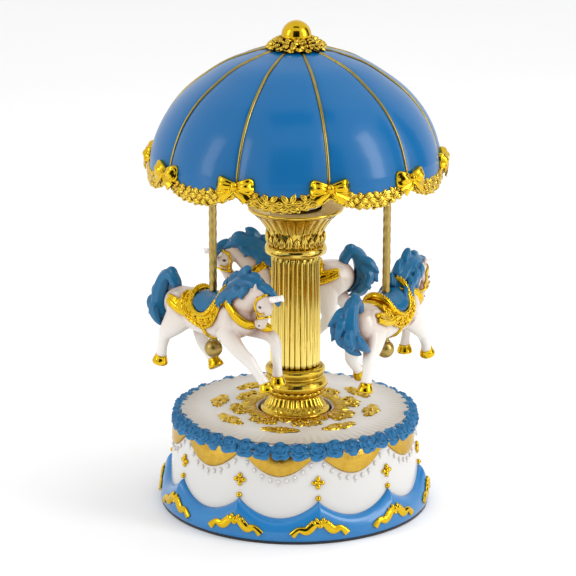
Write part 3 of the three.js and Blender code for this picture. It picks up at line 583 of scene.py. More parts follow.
# ---------------------------------------------------------------- leaf reliefs on the deck
# Two rings of acanthus sprigs are cast into the deck and picked out in gold by hand: eight long
# ones round the foot of the column and eight wide ones between them further out.
foot_gold, tree = new_material("gold_plated_zinc")
place = node(tree, "ShaderNodeTexCoord")
stain = node(tree, "ShaderNodeTexNoise", {"Vector": place.outputs["Object"], "Scale": 120.0, "Detail": 4.0})
# Painted shade: the occlusion mask below darkens the gold to brown-black in the crevices of the reliefs, garland and
# collar.
hollow = node(tree, "ShaderNodeAmbientOcclusion", {"Distance": 2.5 * MM}, samples=6)
painted_shade_factor = node(tree, "ShaderNodeMapRange", {"Value": hollow.outputs["AO"], "From Min": 0.15, "From Max": 0.75})
light = node(tree, "ShaderNodeMix", {0: stain.outputs["Fac"], 6: srgb("#C8A024"), 7: srgb("#ECCB50")}, data_type="RGBA")
tone = node(tree, "ShaderNodeMix", {0: painted_shade_factor.outputs[0], 6: srgb("#4A3608"), 7: light.outputs[2]}, data_type="RGBA")
rough = node(tree, "ShaderNodeMapRange", {"Value": stain.outputs["Fac"], "To Min": 0.1, "To Max": 0.22})
bump = node(tree, "ShaderNodeBump", {"Height": stain.outputs["Fac"], "Strength": 0.15, "Distance": 0.4 * MM})
plate = node(tree, "ShaderNodeBsdfPrincipled", {
    "Base Color": tone.outputs[2], "Metallic": 1.0, "Roughness": rough.outputs[0], "Normal": bump.outputs[0],
})
node(tree, "ShaderNodeOutputMaterial", {"Surface": plate.outputs[0]})


def leaf(base, along, out, length, width, height, curl=0.0, veins=True):
    """A pointed leaf lying on a surface: base point, direction along it, direction out, sizes and curl."""
    along = along / np.linalg.norm(along)
    side = np.cross(out, along)
    t = np.linspace(0, 1, 12)[:, None]
    v = np.linspace(-1, 1, 9)[None, :]
    half = width / 2 * np.sin(math.pi * np.clip(t, 0.03, 0.985) ** 0.8) ** 0.75 * (1 + 0.1 * np.cos(t * 26))
    lift = height * np.sin(math.pi * np.clip(t, 0.05, 0.97)) ** 0.5 * np.sqrt(np.clip(1 - 0.9 * v**2, 0, 1))
    if veins:
        lift = lift - 0.28 * height * np.exp(-(v / 0.16) ** 2)
    bend = curl * t**2
    top = (base + length * t[..., None] * along + (half * v)[..., None] * side
           + bend[..., None] * length * side + lift[..., None] * out)
    under = top - (lift[..., None] + 0.35) * out
    return lattice(np.concatenate([top, under[:, ::-1]], 1), False, True)


UP = np.array([0.0, 0.0, 1.0])
relief_parts = []


def scroll(centre, spoke, side, way, size, turns=1.35):
    """A C-scroll in relief that winds in on itself."""
    path, wide = [], []
    for t in np.linspace(0, 1, 22):
        a = 0.4 + turns * 2 * math.pi * t
        r = size * (1 - 0.82 * t)
        path.append(centre + spoke * r * math.cos(a) + side * way * r * math.sin(a) + UP * (0.35 + 0.5 * t))
        wide.append(0.75 - 0.3 * t)
    return tube(path, wide, 0.7, 8, UP)


for k in range(8):
    b = math.radians(-11 + 45 * k)
    spoke, side = at_wall(b, 1, 0), np.array([math.cos(b), math.sin(b), 0])
    for tilt, length, width in ((0, 4.6, 3.6), (0.75, 5.2, 3.4), (-0.75, 5.2, 3.4), (1.3, 8.8, 3.6), (-1.3, 8.8, 3.6),
                                (1.72, 8.4, 3.2), (-1.72, 8.4, 3.2), (2.35, 5.2, 3.0), (-2.35, 5.2, 3.0), (3.14, 4.4, 3.0)):
        direction = spoke * math.cos(tilt) + side * math.sin(tilt)
        relief_parts.append(leaf(spoke * 36.2 + UP * 44.8, direction, UP, length, width, 1.15, 0.12 * math.copysign(1, tilt)))
    for way in (-1, 1):
        relief_parts.append(scroll(spoke * 36.0 + side * way * 5.4 + UP * 44.7, spoke, side, way, 2.0, 1.1))
        relief_parts.append(leaf(spoke * 34.6 + side * way * 6.0 + UP * 44.8, side * way + spoke * 0.35, UP, 3.6, 2.4, 1.0))
    relief_parts.append(ball(spoke * 36.2 + UP * 45.3, (1.7, 1.7, 1.2), 7))
    a = b + PANEL * 0.625
    for da, r0, length, width, curl in (
        (0, 18, 9.4, 4.6, 0), (-0.13, 18, 9.2, 4.0, -0.3), (0.13, 18, 9.2, 4.0, 0.3), (-0.26, 18.2, 7.4, 3.6, -0.4),
        (0.26, 18.2, 7.4, 3.6, 0.4), (-0.38, 18.4, 5.2, 3.4, -0.2), (0.38, 18.4, 5.2, 3.4, 0.2),
    ):
        out = at_wall(a + da, 1, 0)
        relief_parts.append(leaf(out * r0 + UP * 44.8, out, UP, length, width, 1.2, curl))
    spoke, side = at_wall(a, 1, 0), np.array([math.cos(a), math.sin(a), 0])
    for way in (-1, 1):
        relief_parts.append(scroll(spoke * 26.8 + side * way * 4.4 + UP * 44.7, spoke, side, way, 2.6))
        for tilt, length in ((0.45, 4.6), (1.0, 5.2), (1.6, 4.6)):
            direction = spoke * math.cos(tilt) + side * way * math.sin(tilt)
            relief_parts.append(leaf(spoke * 26.6 + side * way * 1.6 + UP * 44.8, direction, UP, length, 2.7, 1.1, 0.15 * way))
    relief_parts.append(leaf(spoke * 26.2 + UP * 44.8, spoke, UP, 5.6, 3.2, 1.2))
    relief_parts.append(ball(spoke * 26.4 + UP * 45.3, (1.4, 1.4, 1.1), 7))
piece("deck_acanthus", *gather(relief_parts), foot_gold, "base", ["base_shell"], "plated_gold", 60)


# ---------------------------------------------------------------- foot of the column
# The foot is a hollow zinc casting, bright gold plated: a fluted bell standing in the hole of the
# deck, a leafy neck and two stacked rings. It is pressed on the drive flange and turns with it.
def foot_relief(angle, r, z):
    bell = np.clip((z - 45.6) / 0.7, 0, 1) * np.clip((51.2 - z) / 0.6, 0, 1)
    neck = np.clip((z - 52.0) / 0.4, 0, 1) * np.clip((54.8 - z) / 0.4, 0, 1)
    inside = np.where(r > 10.2, 1, 0)
    petals = np.abs(np.cos(angle * 14)) ** 0.6
    lobes = np.abs(np.cos(angle * 12)) ** 0.5
    return r + inside * (bell * (0.85 * petals - 0.6) + neck * (0.9 * lobes - 0.6)), z


foot_profile = np.vstack([
    [[9.6, 40.6], [16.2, 40.6]], spline([[16.4, 41], [16.5, 42.6], [16.45, 43.9], [16.1, 44.7], [15.3, 45.1]], 14),
    spline([[15.1, 45.3], [14.3, 46.2], [12.9, 47.8], [11.9, 49.6], [11.4, 51.2]], 18),
    spline([[11.4, 51.4], [11.7, 51.8], [12.9, 52.3], [13.5, 53.1], [13.7, 54.2], [13.3, 54.9]], 14),
    spline([[13.6, 55.0], [14.7, 55.4], [15.2, 56.6], [15.1, 58.0], [14.4, 59.5], [13.3, 60.5]], 22),
    spline([[13.2, 60.6], [13.5, 60.9], [13.5, 61.5], [13.1, 61.9]], 10),
    spline([[13.1, 62.0], [13.9, 62.6], [14.1, 63.7], [13.9, 64.8], [13.2, 65.5], [12.4, 65.8]], 16), [[9.6, 65.8]],
])
foot_profile = np.vstack([foot_profile, polyline([[9.6, 65.8], [9.6, 40.6]], 4)[1:-1]])
piece("column_foot_casting", *lattice(turned(foot_profile, 360, foot_relief), True, True), foot_gold, "rotor",
      ["column_foot"], "plated_gold", 45)


# ---------------------------------------------------------------- shaft of the column
# The shaft is moulded like a gathered curtain: twenty-four narrow rounded pleats with tight slits
# between them, vacuum-plated in pale champagne gold over plastic.
champagne, tree = new_material("champagne_vacuum_plating")
place = node(tree, "ShaderNodeTexCoord")
split = node(tree, "ShaderNodeSeparateXYZ", {"Vector": place.outputs["Object"]})
height = node(tree, "ShaderNodeMapRange", {"Value": split.outputs["Z"], "From Min": 68 * MM, "From Max": 140 * MM})
# Painted shade: the occlusion mask below darkens the gold to brown in the slits between the pleats. The tone also runs
# deeper and warmer towards the top.
hollow = node(tree, "ShaderNodeAmbientOcclusion", {"Distance": 2.2 * MM}, samples=8)
painted_shade_factor = node(tree, "ShaderNodeMapRange", {"Value": hollow.outputs["AO"], "From Min": 0.15, "From Max": 0.7})
stain = node(tree, "ShaderNodeTexNoise", {"Vector": place.outputs["Object"], "Scale": 90.0, "Detail": 4.0})
light = node(tree, "ShaderNodeMix", {0: height.outputs[0], 6: srgb("#EBD476"), 7: srgb("#D9B648")}, data_type="RGBA")
tone = node(tree, "ShaderNodeMix", {0: painted_shade_factor.outputs[0], 6: srgb("#6B4E12"), 7: light.outputs[2]}, data_type="RGBA")
rough = node(tree, "ShaderNodeMapRange", {"Value": stain.outputs["Fac"], "To Min": 0.12, "To Max": 0.22})
bump = node(tree, "ShaderNodeBump", {"Height": stain.outputs["Fac"], "Strength": 0.2, "Distance": 0.4 * MM})
plate = node(tree, "ShaderNodeBsdfPrincipled", {
    "Base Color": tone.outputs[2], "Metallic": 1.0, "Roughness": rough.outputs[0], "Normal": bump.outputs[0],
})
node(tree, "ShaderNodeOutputMaterial", {"Surface": plate.outputs[0]})

PLEATS = 24


def pleats(angle, r, z):
    """Rounded pleats of slightly uneven width with tight slits between them."""
    wave = angle * PLEATS + 1.3 * np.sin(5 * angle + 0.4) + 0.02 * (z - 95) * np.sin(7 * angle)
    fold = np.abs(np.sin(wave / 2)) ** 0.45
    outside = np.where(r > 9.6, 1, 0)
    return r + outside * (1.15 * fold - 0.95), z


shaft_profile = np.vstack([
    [[9.2, 66.1], [11.2, 66.1]],
    polyline([[11.5, 66.6], [11.6, 80], [11.3, 100], [11.0, 113], [11.3, 118.4], [11.0, 118.9]], 1.6),
    polyline([[9.2, 118.9], [9.2, 66.1]], 6)[:-1],
])
piece("pleated_shaft", *lattice(turned(shaft_profile, 576, pleats), True, True), champagne, "rotor",
      ["column_shaft"], "pale_gold", 50)


# ---------------------------------------------------------------- capital
# The capital is the same plating over plastic: a round collar, a ring of upright leaves, then
# flutes that flare out to a thin round tray under the canopy.
def capital_relief(angle, r, z):
    flare = np.clip((z - 131.0) / 1.2, 0, 1) * np.clip((139.8 - z) / 1.5, 0, 1)
    outside = np.where(r > 12.2, 1, 0)
    flutes = np.abs(np.sin(angle * 12)) ** 0.5
    return r + outside * flare * (1.0 * flutes - 0.85), z


capital_profile = np.vstack([
    [[12.2, 119.4], [12.9, 119.4]], spline([[13.0, 119.5], [14.1, 120.3], [14.5, 121.8], [14, 123.4], [12.8, 124.1]], 16),
    spline([[12.6, 124.4], [12.7, 127], [13.3, 130.6]], 8),
    spline([[13.5, 131.2], [14.6, 133.2], [16.9, 136.2], [19.8, 138.9], [21.2, 139.9]], 20),
    [[21.7, 140.2], [22.1, 140.7], [22.1, 141.4], [21.8, 141.8], [20.5, 141.8], [12.4, 141.4]],
])
capital_profile = np.vstack([capital_profile, polyline([[12.2, 141.4], [12.2, 119.4]], 4)[:-1]])
capital_parts = [lattice(turned(capital_profile, 480, capital_relief), True, True)]
for k in range(24):
    a = math.radians(15) * k + 0.05
    turn = frame_at(a, 0.0)
    tall = 6.6 if k % 2 else 5.4
    capital_parts.append(leaf(at_wall(a, 12.75, 124.0), UP + turn[:, 2] * 0.14, turn[:, 2], tall, 3.5, 1.0, 0.0))
piece("fluted_capital", *gather(capital_parts), champagne, "rotor", ["column_capital"], "pale_gold", 50)


# ---------------------------------------------------------------- ceiling
# A white moulded plate closes the canopy from below. Its hub sits on the capital, and each pole
# passes through it to a nut on top.
ceiling_white, tree = new_material("white_moulded_plastic")
place = node(tree, "ShaderNodeTexCoord")
skin = node(tree, "ShaderNodeTexNoise", {"Vector": place.outputs["Object"], "Scale": 900.0, "Detail": 3.0})
tone = node(tree, "ShaderNodeMix", {0: skin.outputs["Fac"], 6: srgb("#D9D6D0"), 7: srgb("#E6E3DD")}, data_type="RGBA")
bump = node(tree, "ShaderNodeBump", {"Height": skin.outputs["Fac"], "Strength": 0.15, "Distance": 0.1 * MM})
plastic = node(tree, "ShaderNodeBsdfPrincipled", {
    "Base Color": tone.outputs[2], "Roughness": 0.45, "IOR": 1.46, "Normal": bump.outputs[0],
})
node(tree, "ShaderNodeOutputMaterial", {"Surface": plastic.outputs[0]})


def ceiling_relief(angle, r, z):
    """Ten shallow radial ribs on the underside between the hub and the rim."""
    rib = np.exp(-((np.mod(angle - math.radians(12.6) + PANEL / 2, PANEL) - PANEL / 2) * r / 1.6) ** 2)
    under = np.where((z < 162.1) & (r > 14) & (r < 60), 1, 0)
    return r, z - 0.9 * rib * under


ceiling_profile = polyline([[9.6, 142.4], [11.9, 142.4], [11.9, 156], [12.8, 160.2], [14, 161.9], [62, 161.9], [62.6, 162.2],
                            [62.6, 163.3], [62.2, 163.5], [9.6, 163.5], [9.6, 142.4]], 2.2)[:-1]
piece("ceiling_disc", *lattice(turned(ceiling_profile, 360, ceiling_relief), True, True), ceiling_white, "rotor",
      ["ceiling_plate"], "white_plastic", 40)


# ---------------------------------------------------------------- canopy dome
# The dome is a thin resin shell of ten gores, each swelling like taut cloth between the ribs. It
# is sprayed deep azure and lacquered to a soft shine.
dome_blue, tree = new_material("azure_gloss_lacquer")
place = node(tree, "ShaderNodeTexCoord")
spray = node(tree, "ShaderNodeTexNoise", {"Vector": place.outputs["Object"], "Scale": 22.0, "Detail": 2.0})
tone = node(tree, "ShaderNodeMix", {0: spray.outputs["Fac"], 6: srgb("#005890"), 7: srgb("#00659F")}, data_type="RGBA")
orange_peel = node(tree, "ShaderNodeTexNoise", {"Vector": place.outputs["Object"], "Scale": 130.0, "Detail": 3.0})
rough = node(tree, "ShaderNodeMapRange", {"Value": spray.outputs["Fac"], "To Min": 0.24, "To Max": 0.34})
bump = node(tree, "ShaderNodeBump", {"Height": orange_peel.outputs["Fac"], "Strength": 0.14, "Distance": 0.3 * MM})
paint = node(tree, "ShaderNodeBsdfPrincipled", {
    "Base Color": tone.outputs[2], "Roughness": rough.outputs[0], "IOR": 1.5, "Normal": bump.outputs[0],
    "Specular IOR Level": 0.28, "Coat Weight": 0.2, "Coat Roughness": 0.13,
})
node(tree, "ShaderNodeOutputMaterial", {"Surface": paint.outputs[0]})

DOME_TURN = math.radians(12.6)
RIB_LINE = np.array([[65.2, 162.0], [64.9, 166], [64.3, 170], [61.4, 179], [57, 187.5], [50, 196], [40.5, 203.5],
                     [30.5, 209.5], [17, 214.1]])


def gore(angle, r, z):
    """Each gore swells outward between its two ribs, most near the rim."""
    middle = np.abs(np.sin((angle - DOME_TURN) * math.pi / PANEL))
    swell = 0.032 * middle**0.75 * np.clip((216 - z) / 40, 0, 1)
    outside = np.where(z > 161.95, 1, 0)
    return r * (1 + swell * outside), z - 0.7 * (1 - middle) ** 5 * outside * np.clip((r - 8) / 20, 0, 1)


dome_line = spline(RIB_LINE, 64)
dome_crown = spline([[17, 214.1], [10, 215.1], [3, 215.4], [2.4, 215.4]], 8)[1:]
dome_inner = np.vstack([[[2.4, 213.6], [17, 212.0]], spline(RIB_LINE[::-1], 30)[2:] * [0.967, 1] - [0, 1.1]])
dome_inner = np.clip(dome_inner, [0, 162.0], None)
dome_profile = np.vstack([dome_line, dome_crown, dome_inner])
piece("canopy_gores", *lattice(turned(dome_profile, 600, gore), True, True), dome_blue, "rotor", ["canopy_dome"], "blue_paint", 50)


# ---------------------------------------------------------------- canopy ribs
# A thin gilded bead runs down each seam of the dome from the finial to the bow at its end.
# Gilt rubbed thin over the blue, so that the beads look dull and khaki beside the plated parts.
rib_gilt, tree = new_material("rubbed_khaki_gilt")
place = node(tree, "ShaderNodeTexCoord")
worn = node(tree, "ShaderNodeTexNoise", {"Vector": place.outputs["Object"], "Scale": 300.0, "Detail": 4.0})
# Painted shade: the occlusion mask below darkens the beads to near black where they meet the dome.
hollow = node(tree, "ShaderNodeAmbientOcclusion", {"Distance": 1.2 * MM}, samples=6)
painted_shade_factor = node(tree, "ShaderNodeMapRange", {"Value": hollow.outputs["AO"], "From Min": 0.3, "From Max": 0.85})
light = node(tree, "ShaderNodeMix", {0: worn.outputs["Fac"], 6: srgb("#8C7A35"), 7: srgb("#BFAA5C")}, data_type="RGBA")
tone = node(tree, "ShaderNodeMix", {0: painted_shade_factor.outputs[0], 6: srgb("#2E2C1C"), 7: light.outputs[2]}, data_type="RGBA")
bump = node(tree, "ShaderNodeBump", {"Height": worn.outputs["Fac"], "Strength": 0.3, "Distance": 0.2 * MM})
gilt = node(tree, "ShaderNodeBsdfPrincipled", {
    "Base Color": tone.outputs[2], "Metallic": 1.0, "Roughness": 0.3, "Normal": bump.outputs[0],
})
node(tree, "ShaderNodeOutputMaterial", {"Surface": gilt.outputs[0]})

rib_parts = []
for k in range(10):
    a = DOME_TURN + PANEL * k
    line, out = [], []
    for r, z in spline(np.vstack([RIB_LINE, [[11.5, 215.0]]]), 50):
        line.append(at_wall(a, r - 0.1, z - 0.35))
    line = np.array(line)
    ahead = np.gradient(line, axis=0)
    out = np.cross(ahead, [math.cos(a), math.sin(a), 0])
    out = out * np.sign(out[:, 2:3] + 1e-9)
    rib_parts.append(tube(line, 0.78, 0.85, 10, out))
piece("canopy_ribs", *gather(rib_parts), rib_gilt, "rotor", ["canopy_dome"], "plated_gold", 60)


# ---------------------------------------------------------------- garland
# The garland is a pierced gold-plated casting that rings the rim of the dome: a corded rail, ten
# swags of overlapping leaves hung between the bows and small drops under each swag.
def hang(offset):
    """How far a swag hangs, 0 at the bows and 1 at its middle; offset is the angle from its middle."""
    return np.clip(1 - np.abs(offset / (PANEL / 2)) ** 2.1, 0, 1)


def swag_centre(offset, sink=0.0):
    """Radius and height of the middle of a swag, sink lower."""
    rise = 1 - float(hang(offset))
    return 66.45 - 0.35 * rise, 158.7 + 4.8 * rise - sink


garland_parts = []
for k in range(10):
    middle = DOME_TURN + PANEL * (k + 0.5)
    line, out, half = [], [], []
    for offset in np.linspace(-PANEL / 2, PANEL / 2, 61):
        r, z = swag_centre(offset)
        line.append(at_wall(middle + offset, r, z))
        out.append(at_wall(middle + offset, 1, 0))
        wave = 0.35 * math.sin(offset * 95) + 0.2 * math.sin(offset * 163 + k)
        half.append(3.7 - 1.1 * (1 - float(hang(offset))) + wave)
    garland_parts.append(tube(line, half, 0.95, 16, out))
    for row, (sink, size, lean0) in enumerate(((-2.3, 3.9, 0.5), (0.0, 4.3, 0.0), (2.3, 3.9, -0.5))):
        count = 10
        for j in range(count):
            offset = PANEL / 2 * 0.95 * (2 * (j + 0.5 * (row % 2)) / (count - 0.5) - 1)
            scale = 0.72 + 0.28 * float(hang(offset))
            r, z = swag_centre(offset, sink * scale)
            turn = frame_at(middle + offset, 0.1)
            way = -1 if (j + row) % 2 else 1
            lean = lean0 + 0.7 * (RNG.random() - 0.5)
            slope = -11 * (abs(offset) / (PANEL / 2)) ** 1.1 * math.copysign(1, offset) * -0.06
            along = way * turn[:, 0] * math.cos(lean) + turn[:, 1] * (math.sin(lean) + way * slope)
            along /= np.linalg.norm(along)
            bulge = 0.85 * math.sqrt(max(0.0, 1 - (sink / 4.2) ** 2))
            spot = at_wall(middle + offset, r + bulge - 0.15 + 0.3 * RNG.random(), z)
            long = size * (0.85 + 0.4 * RNG.random()) * scale
            garland_parts.append(leaf(spot - along * long * 0.5, along, turn[:, 2], long, 3.0 * scale, 1.0, 0.2 * way))
    for j in range(11):
        offset = PANEL / 2 * 0.86 * (j - 5) / 5
        scale = 0.72 + 0.28 * float(hang(offset))
        r, z = swag_centre(offset, (3.5 + 0.3 * (j % 2)) * scale)
        garland_parts.append(ball(at_wall(middle + offset, r + 0.3, z), (0.95, 0.6, 0.6), 6))
piece("leaf_garland", *gather(garland_parts), foot_gold, "rotor", ["canopy_garland"], "plated_gold", 60)


# ---------------------------------------------------------------- bows
# Ten ribbon bows are plated with the garland and stand over its joints at the foot of each rib:
# two creased loops, a small knot and two short tails.
def flat_ribbon(path, widths, thickness, out, crease=0.0):
    """A thin strip along path, its width across the path and in the surface that out stands on."""
    p = np.asarray(path, float)
    ahead = np.gradient(p, axis=0)
    ahead /= np.linalg.norm(ahead, axis=1)[:, None] + 1e-12
    out = np.broadcast_to(np.asarray(out, float), p.shape)
    side = np.cross(out, ahead)
    side /= np.linalg.norm(side, axis=1)[:, None] + 1e-12
    face = np.cross(ahead, side)
    w = np.broadcast_to(np.asarray(widths, float), len(p))[:, None]
    v = np.linspace(-1, 1, 9)[None, :]
    ridge = crease * (np.cos(v * math.pi * 1.5) + 0.4 * np.cos(v * math.pi * 3.5))
    top = p[:, None] + side[:, None] * (w * v)[..., None] + face[:, None] * (ridge + thickness * (1 - 0.6 * v**4))[..., None]
    under = p[:, None] + side[:, None] * (w * v)[..., None] + face[:, None] * (ridge - thickness * (1 - 0.6 * v**4))[..., None]
    grid = np.concatenate([top, under[:, ::-1]], 1)
    vertices, faces = lattice(grid, False, True)
    sides = grid.shape[1]
    n = len(p)
    faces += [tuple(range(sides))[::-1], tuple(range((n - 1) * sides, n * sides))]
    return vertices, faces


def loop(side, lean):
    """One puffed loop of a bow in its own plane: pinched at the knot, flaring outward and creased from it."""
    u = np.linspace(0, 1, 22)[:, None]
    v = np.linspace(0, 2 * math.pi, 40, endpoint=False)[None, :]
    flare = (0.4 + 0.56 * u**0.7) * np.sqrt(np.clip(1 - np.clip((u - 0.66) / 0.345, 0, 1) ** 2.6, 0, 1))
    puff = 0.7 + 1.5 * np.sin(math.pi * np.clip(u * 0.94, 0, 1)) ** 0.8
    folds = 1 + 0.17 * np.cos(7 * np.sin(v) * 1.1) * (1 - 0.4 * u)
    x = 0.9 + 8.3 * u  - 1.1 * u**3 * (1 - np.abs(np.sin(v)))
    y = 4.5 * flare * np.sign(np.sin(v)) * np.abs(np.sin(v)) ** 0.75
    z = 1.35 * puff * np.cos(v) * folds * (0.4 + 0.7 * flare)
    grid = np.stack([side * (x * math.cos(lean) - y * math.sin(lean)), x * math.sin(lean) + y * math.cos(lean), z + 0 * x], -1)
    return grid


bow_parts = []
for k in range(10):
    a0 = DOME_TURN + PANEL * k
    turn = frame_at(a0, 0.2)
    centre = at_wall(a0, 67.0, 165.4)
    for side in (-1, 1):
        grid = loop(side, 0.1)
        grid[..., 2] += 0.6 - 0.016 * grid[..., 0] ** 2
        vertices, faces = lattice(grid @ turn.T + centre, False, True)
        count = grid.shape[1]
        faces += [tuple(range(count))[::-1], tuple(range(21 * count, 22 * count))]
        bow_parts.append((vertices, faces))
        tail = [centre + turn @ np.array([side * x, y, z]) for x, y, z in
                ((0.6, -0.6, 1.2), (1.9, -2.3, 1.6), (3.4, -3.3, 1.4), (5.0, -4.1, 1.1), (6.4, -5.3, 0.6))]
        bow_parts.append(flat_ribbon(spline(tail, 17), np.linspace(1.1, 2.6, 17), 0.42, turn[:, 2], 0.28))
    bow_parts.append(ball(centre + turn @ np.array([0, 0.1, 1.3]), (1.8, 2.2, 1.6), 9, turn))
    for x in (-0.7, 0.7):
        ridge = [centre + turn @ np.array([x, y, 2.65 - 0.25 * y * y]) for y in np.linspace(-1.5, 1.5, 7)]
        bow_parts.append(tube(ridge, 0.35, 0.4, 8, turn[:, 2]))
piece("ribbon_bows", *gather(bow_parts), bright_gold, "rotor", ["canopy_garland"], "plated_gold", 60)


# ---------------------------------------------------------------- finial
# On top sits a plated collar of small leaves round a threaded ball, screwed down over the dome.
collar_parts = [lattice(turned(np.vstack([
    spline([[7.2, 215.6], [11.6, 215.6], [12, 216.1], [11.2, 216.9], [9.6, 217.6], [8.2, 218.4], [7.3, 219.2]], 26),
    [[6.9, 219.0], [6.9, 216.2]],
]), 240), True, True)]
for count, r0, z0, length, width, droop in ((17, 10.4, 216.5, 4.0, 3.9, -0.28), (17, 9.4, 217.5, 3.9, 3.6, -0.05),
                                            (15, 7.8, 218.4, 3.6, 3.3, 0.12), (12, 6.6, 219.0, 2.8, 2.9, 0.35)):
    for k in range(count):
        a = 2 * math.pi * (k + RNG.random() * 0.5) / count + r0
        spoke = at_wall(a, 1, droop + 0.3 * (RNG.random() - 0.5))
        side = np.array([math.cos(a), math.sin(a), 0])
        along = spoke + side * 0.9 * (RNG.random() - 0.5)
        out = np.cross(side, spoke) * np.sign(np.cross(side, spoke)[2])
        out = out / np.linalg.norm(out) + side * 0.5 * (RNG.random() - 0.5)
        along = along / np.linalg.norm(along)
        out = out - along * float(out @ along)
        out /= np.linalg.norm(out)
        collar_parts.append(leaf(at_wall(a, r0, z0 - 0.2 + 0.5 * RNG.random()), along, out, length, width, 1.1))
        collar_parts.append(ball(at_wall(a + 0.1, r0 + 1.6 + 0.8 * RNG.random(), z0 + 0.4), (0.85, 0.85, 0.8), 6))
piece("leaf_collar", *gather(collar_parts), foot_gold, "rotor", ["finial_collar"], "plated_gold", 55)

ball_profile = np.vstack([
    [[0.0, 217.5], [4.6, 217.5]],
    [[6.85 * math.sin(t), 221.1 - 6.85 * math.cos(t)] for t in np.linspace(1.02, math.pi, 34)][:-1], [[0.0, 227.95]],
])
ball_profile[:, 0] = np.maximum(ball_profile[:, 0], 0.001)
piece("finial_knob", *lattice(turned(ball_profile, 96), True, False), bright_gold, "rotor", ["finial_ball"], "plated_gold", 30)


# ---------------------------------------------------------------- poles
# Each horse hangs on a brass rod of twisted square section, lacquered to an antique shade. It runs
# from a nut above the ceiling through the saddle to a turned ball screwed on below the belly.
antique_brass, tree = new_material("antique_lacquered_brass")
place = node(tree, "ShaderNodeTexCoord")
stain = node(tree, "ShaderNodeTexNoise", {"Vector": place.outputs["Object"], "Scale": 220.0, "Detail": 5.0})
# Painted shade: the occlusion mask below darkens the brass in the grooves of the twist and where the rod meets the
# other parts.
hollow = node(tree, "ShaderNodeAmbientOcclusion", {"Distance": 0.9 * MM}, samples=6)
painted_shade_factor = node(tree, "ShaderNodeMapRange", {"Value": hollow.outputs["AO"], "From Min": 0.5, "From Max": 0.95})
light = node(tree, "ShaderNodeMix", {0: stain.outputs["Fac"], 6: srgb("#97803F"), 7: srgb("#BFA664")}, data_type="RGBA")
tone = node(tree, "ShaderNodeMix", {0: painted_shade_factor.outputs[0], 6: srgb("#4C3D1C"), 7: light.outputs[2]}, data_type="RGBA")
rough = node(tree, "ShaderNodeMapRange", {"Value": stain.outputs["Fac"], "To Min": 0.24, "To Max": 0.4})
bump = node(tree, "ShaderNodeBump", {"Height": stain.outputs["Fac"], "Strength": 0.25, "Distance": 0.2 * MM})
metal = node(tree, "ShaderNodeBsdfPrincipled", {
    "Base Color": tone.outputs[2], "Metallic": 1.0, "Roughness": rough.outputs[0], "Normal": bump.outputs[0],
})
node(tree, "ShaderNodeOutputMaterial", {"Surface": metal.outputs[0]})

POLE_CIRCLE = 45.6
RIDERS = (("left", 214.9, 315.0, 1.9), ("right", 334.9, 57.0, -0.3), ("back", 91.1, 185.0, -1.5))

for name, angle, heading, drop in RIDERS:
    a = math.radians(angle)
    foot = np.array([POLE_CIRCLE * math.cos(a), POLE_CIRCLE * math.sin(a), 0.0])
    low, high = 79.9 + drop, 167.8
    z = np.linspace(low, high, 300)[None, :]
    around = np.linspace(0, 2 * math.pi, 24, endpoint=False)[:, None]
    twisted = np.clip((z - low - 6) / 4, 0, 1) * np.clip((161 - z) / 3, 0, 1)
    r = 1.76 + 0.09 * twisted * np.cos(4 * around + z * 1.3)
    bar = np.stack([r * np.cos(around) + foot[0], r * np.sin(around) + foot[1], z + 0 * around], -1)
    cap_low = bar[:, :1] * np.array([0, 0, 1]) + foot * np.array([1, 1, 0])
    cap_high = bar[:, -1:] * np.array([0, 0, 1]) + foot * np.array([1, 1, 0])
    bar = np.concatenate([cap_low, bar, cap_high], 1)
    piece(f"twisted_pole_{name}", *lattice(bar, True, False), antique_brass, "rotor", [f"pole_{name}"], "antique_brass", 60)

    centre = foot + np.array([0, 0, 79.4 + drop])
    knob = np.array([[4.15 * math.sin(t), 4.15 * math.cos(t)] for t in np.linspace(0.5, math.pi, 34)])
    profile = np.vstack([[[0.001, 4.2], [1.95, 4.2], [2.05, 4.0]], knob])
    profile[:, 0] = np.maximum(profile[:, 0], 0.001)
    grid = turned(profile, 48)
    piece(f"ball_nut_{name}", *lattice(grid + centre, True, False), antique_brass, "rotor", [f"pole_ball_{name}"], "antique_brass", 30)


# ---------------------------------------------------------------- horses
# The three horses are one resin casting, modelled in full round at a gallop: a barrel body, arched
# neck, tucked head and four bent legs blended into it. It is sprayed pearl white over a warm pink; the rose brown
# deepening into its hollows is part tint, part painted shade, and the beige over its neck, head and back is the
# canopy's shadow, painted.
pearl, tree = new_material("pearl_white_rose_tint_and_painted_shade")
place = node(tree, "ShaderNodeTexCoord")
# Part tint, part painted shade: the occlusion mask below deepens the rose brown into the hollows, under the belly and
# between the legs.
hollow = node(tree, "ShaderNodeAmbientOcclusion", {"Distance": 9.0 * MM}, samples=10)
painted_shade_factor = node(tree, "ShaderNodeMapRange", {"Value": hollow.outputs["AO"], "From Min": 0.35, "From Max": 1.0})
cloud = node(tree, "ShaderNodeTexNoise", {"Vector": place.outputs["Object"], "Scale": 120.0, "Detail": 4.0})
light = node(tree, "ShaderNodeMix", {0: cloud.outputs["Fac"], 6: srgb("#DAD4CC"), 7: srgb("#E8E5DF")}, data_type="RGBA")
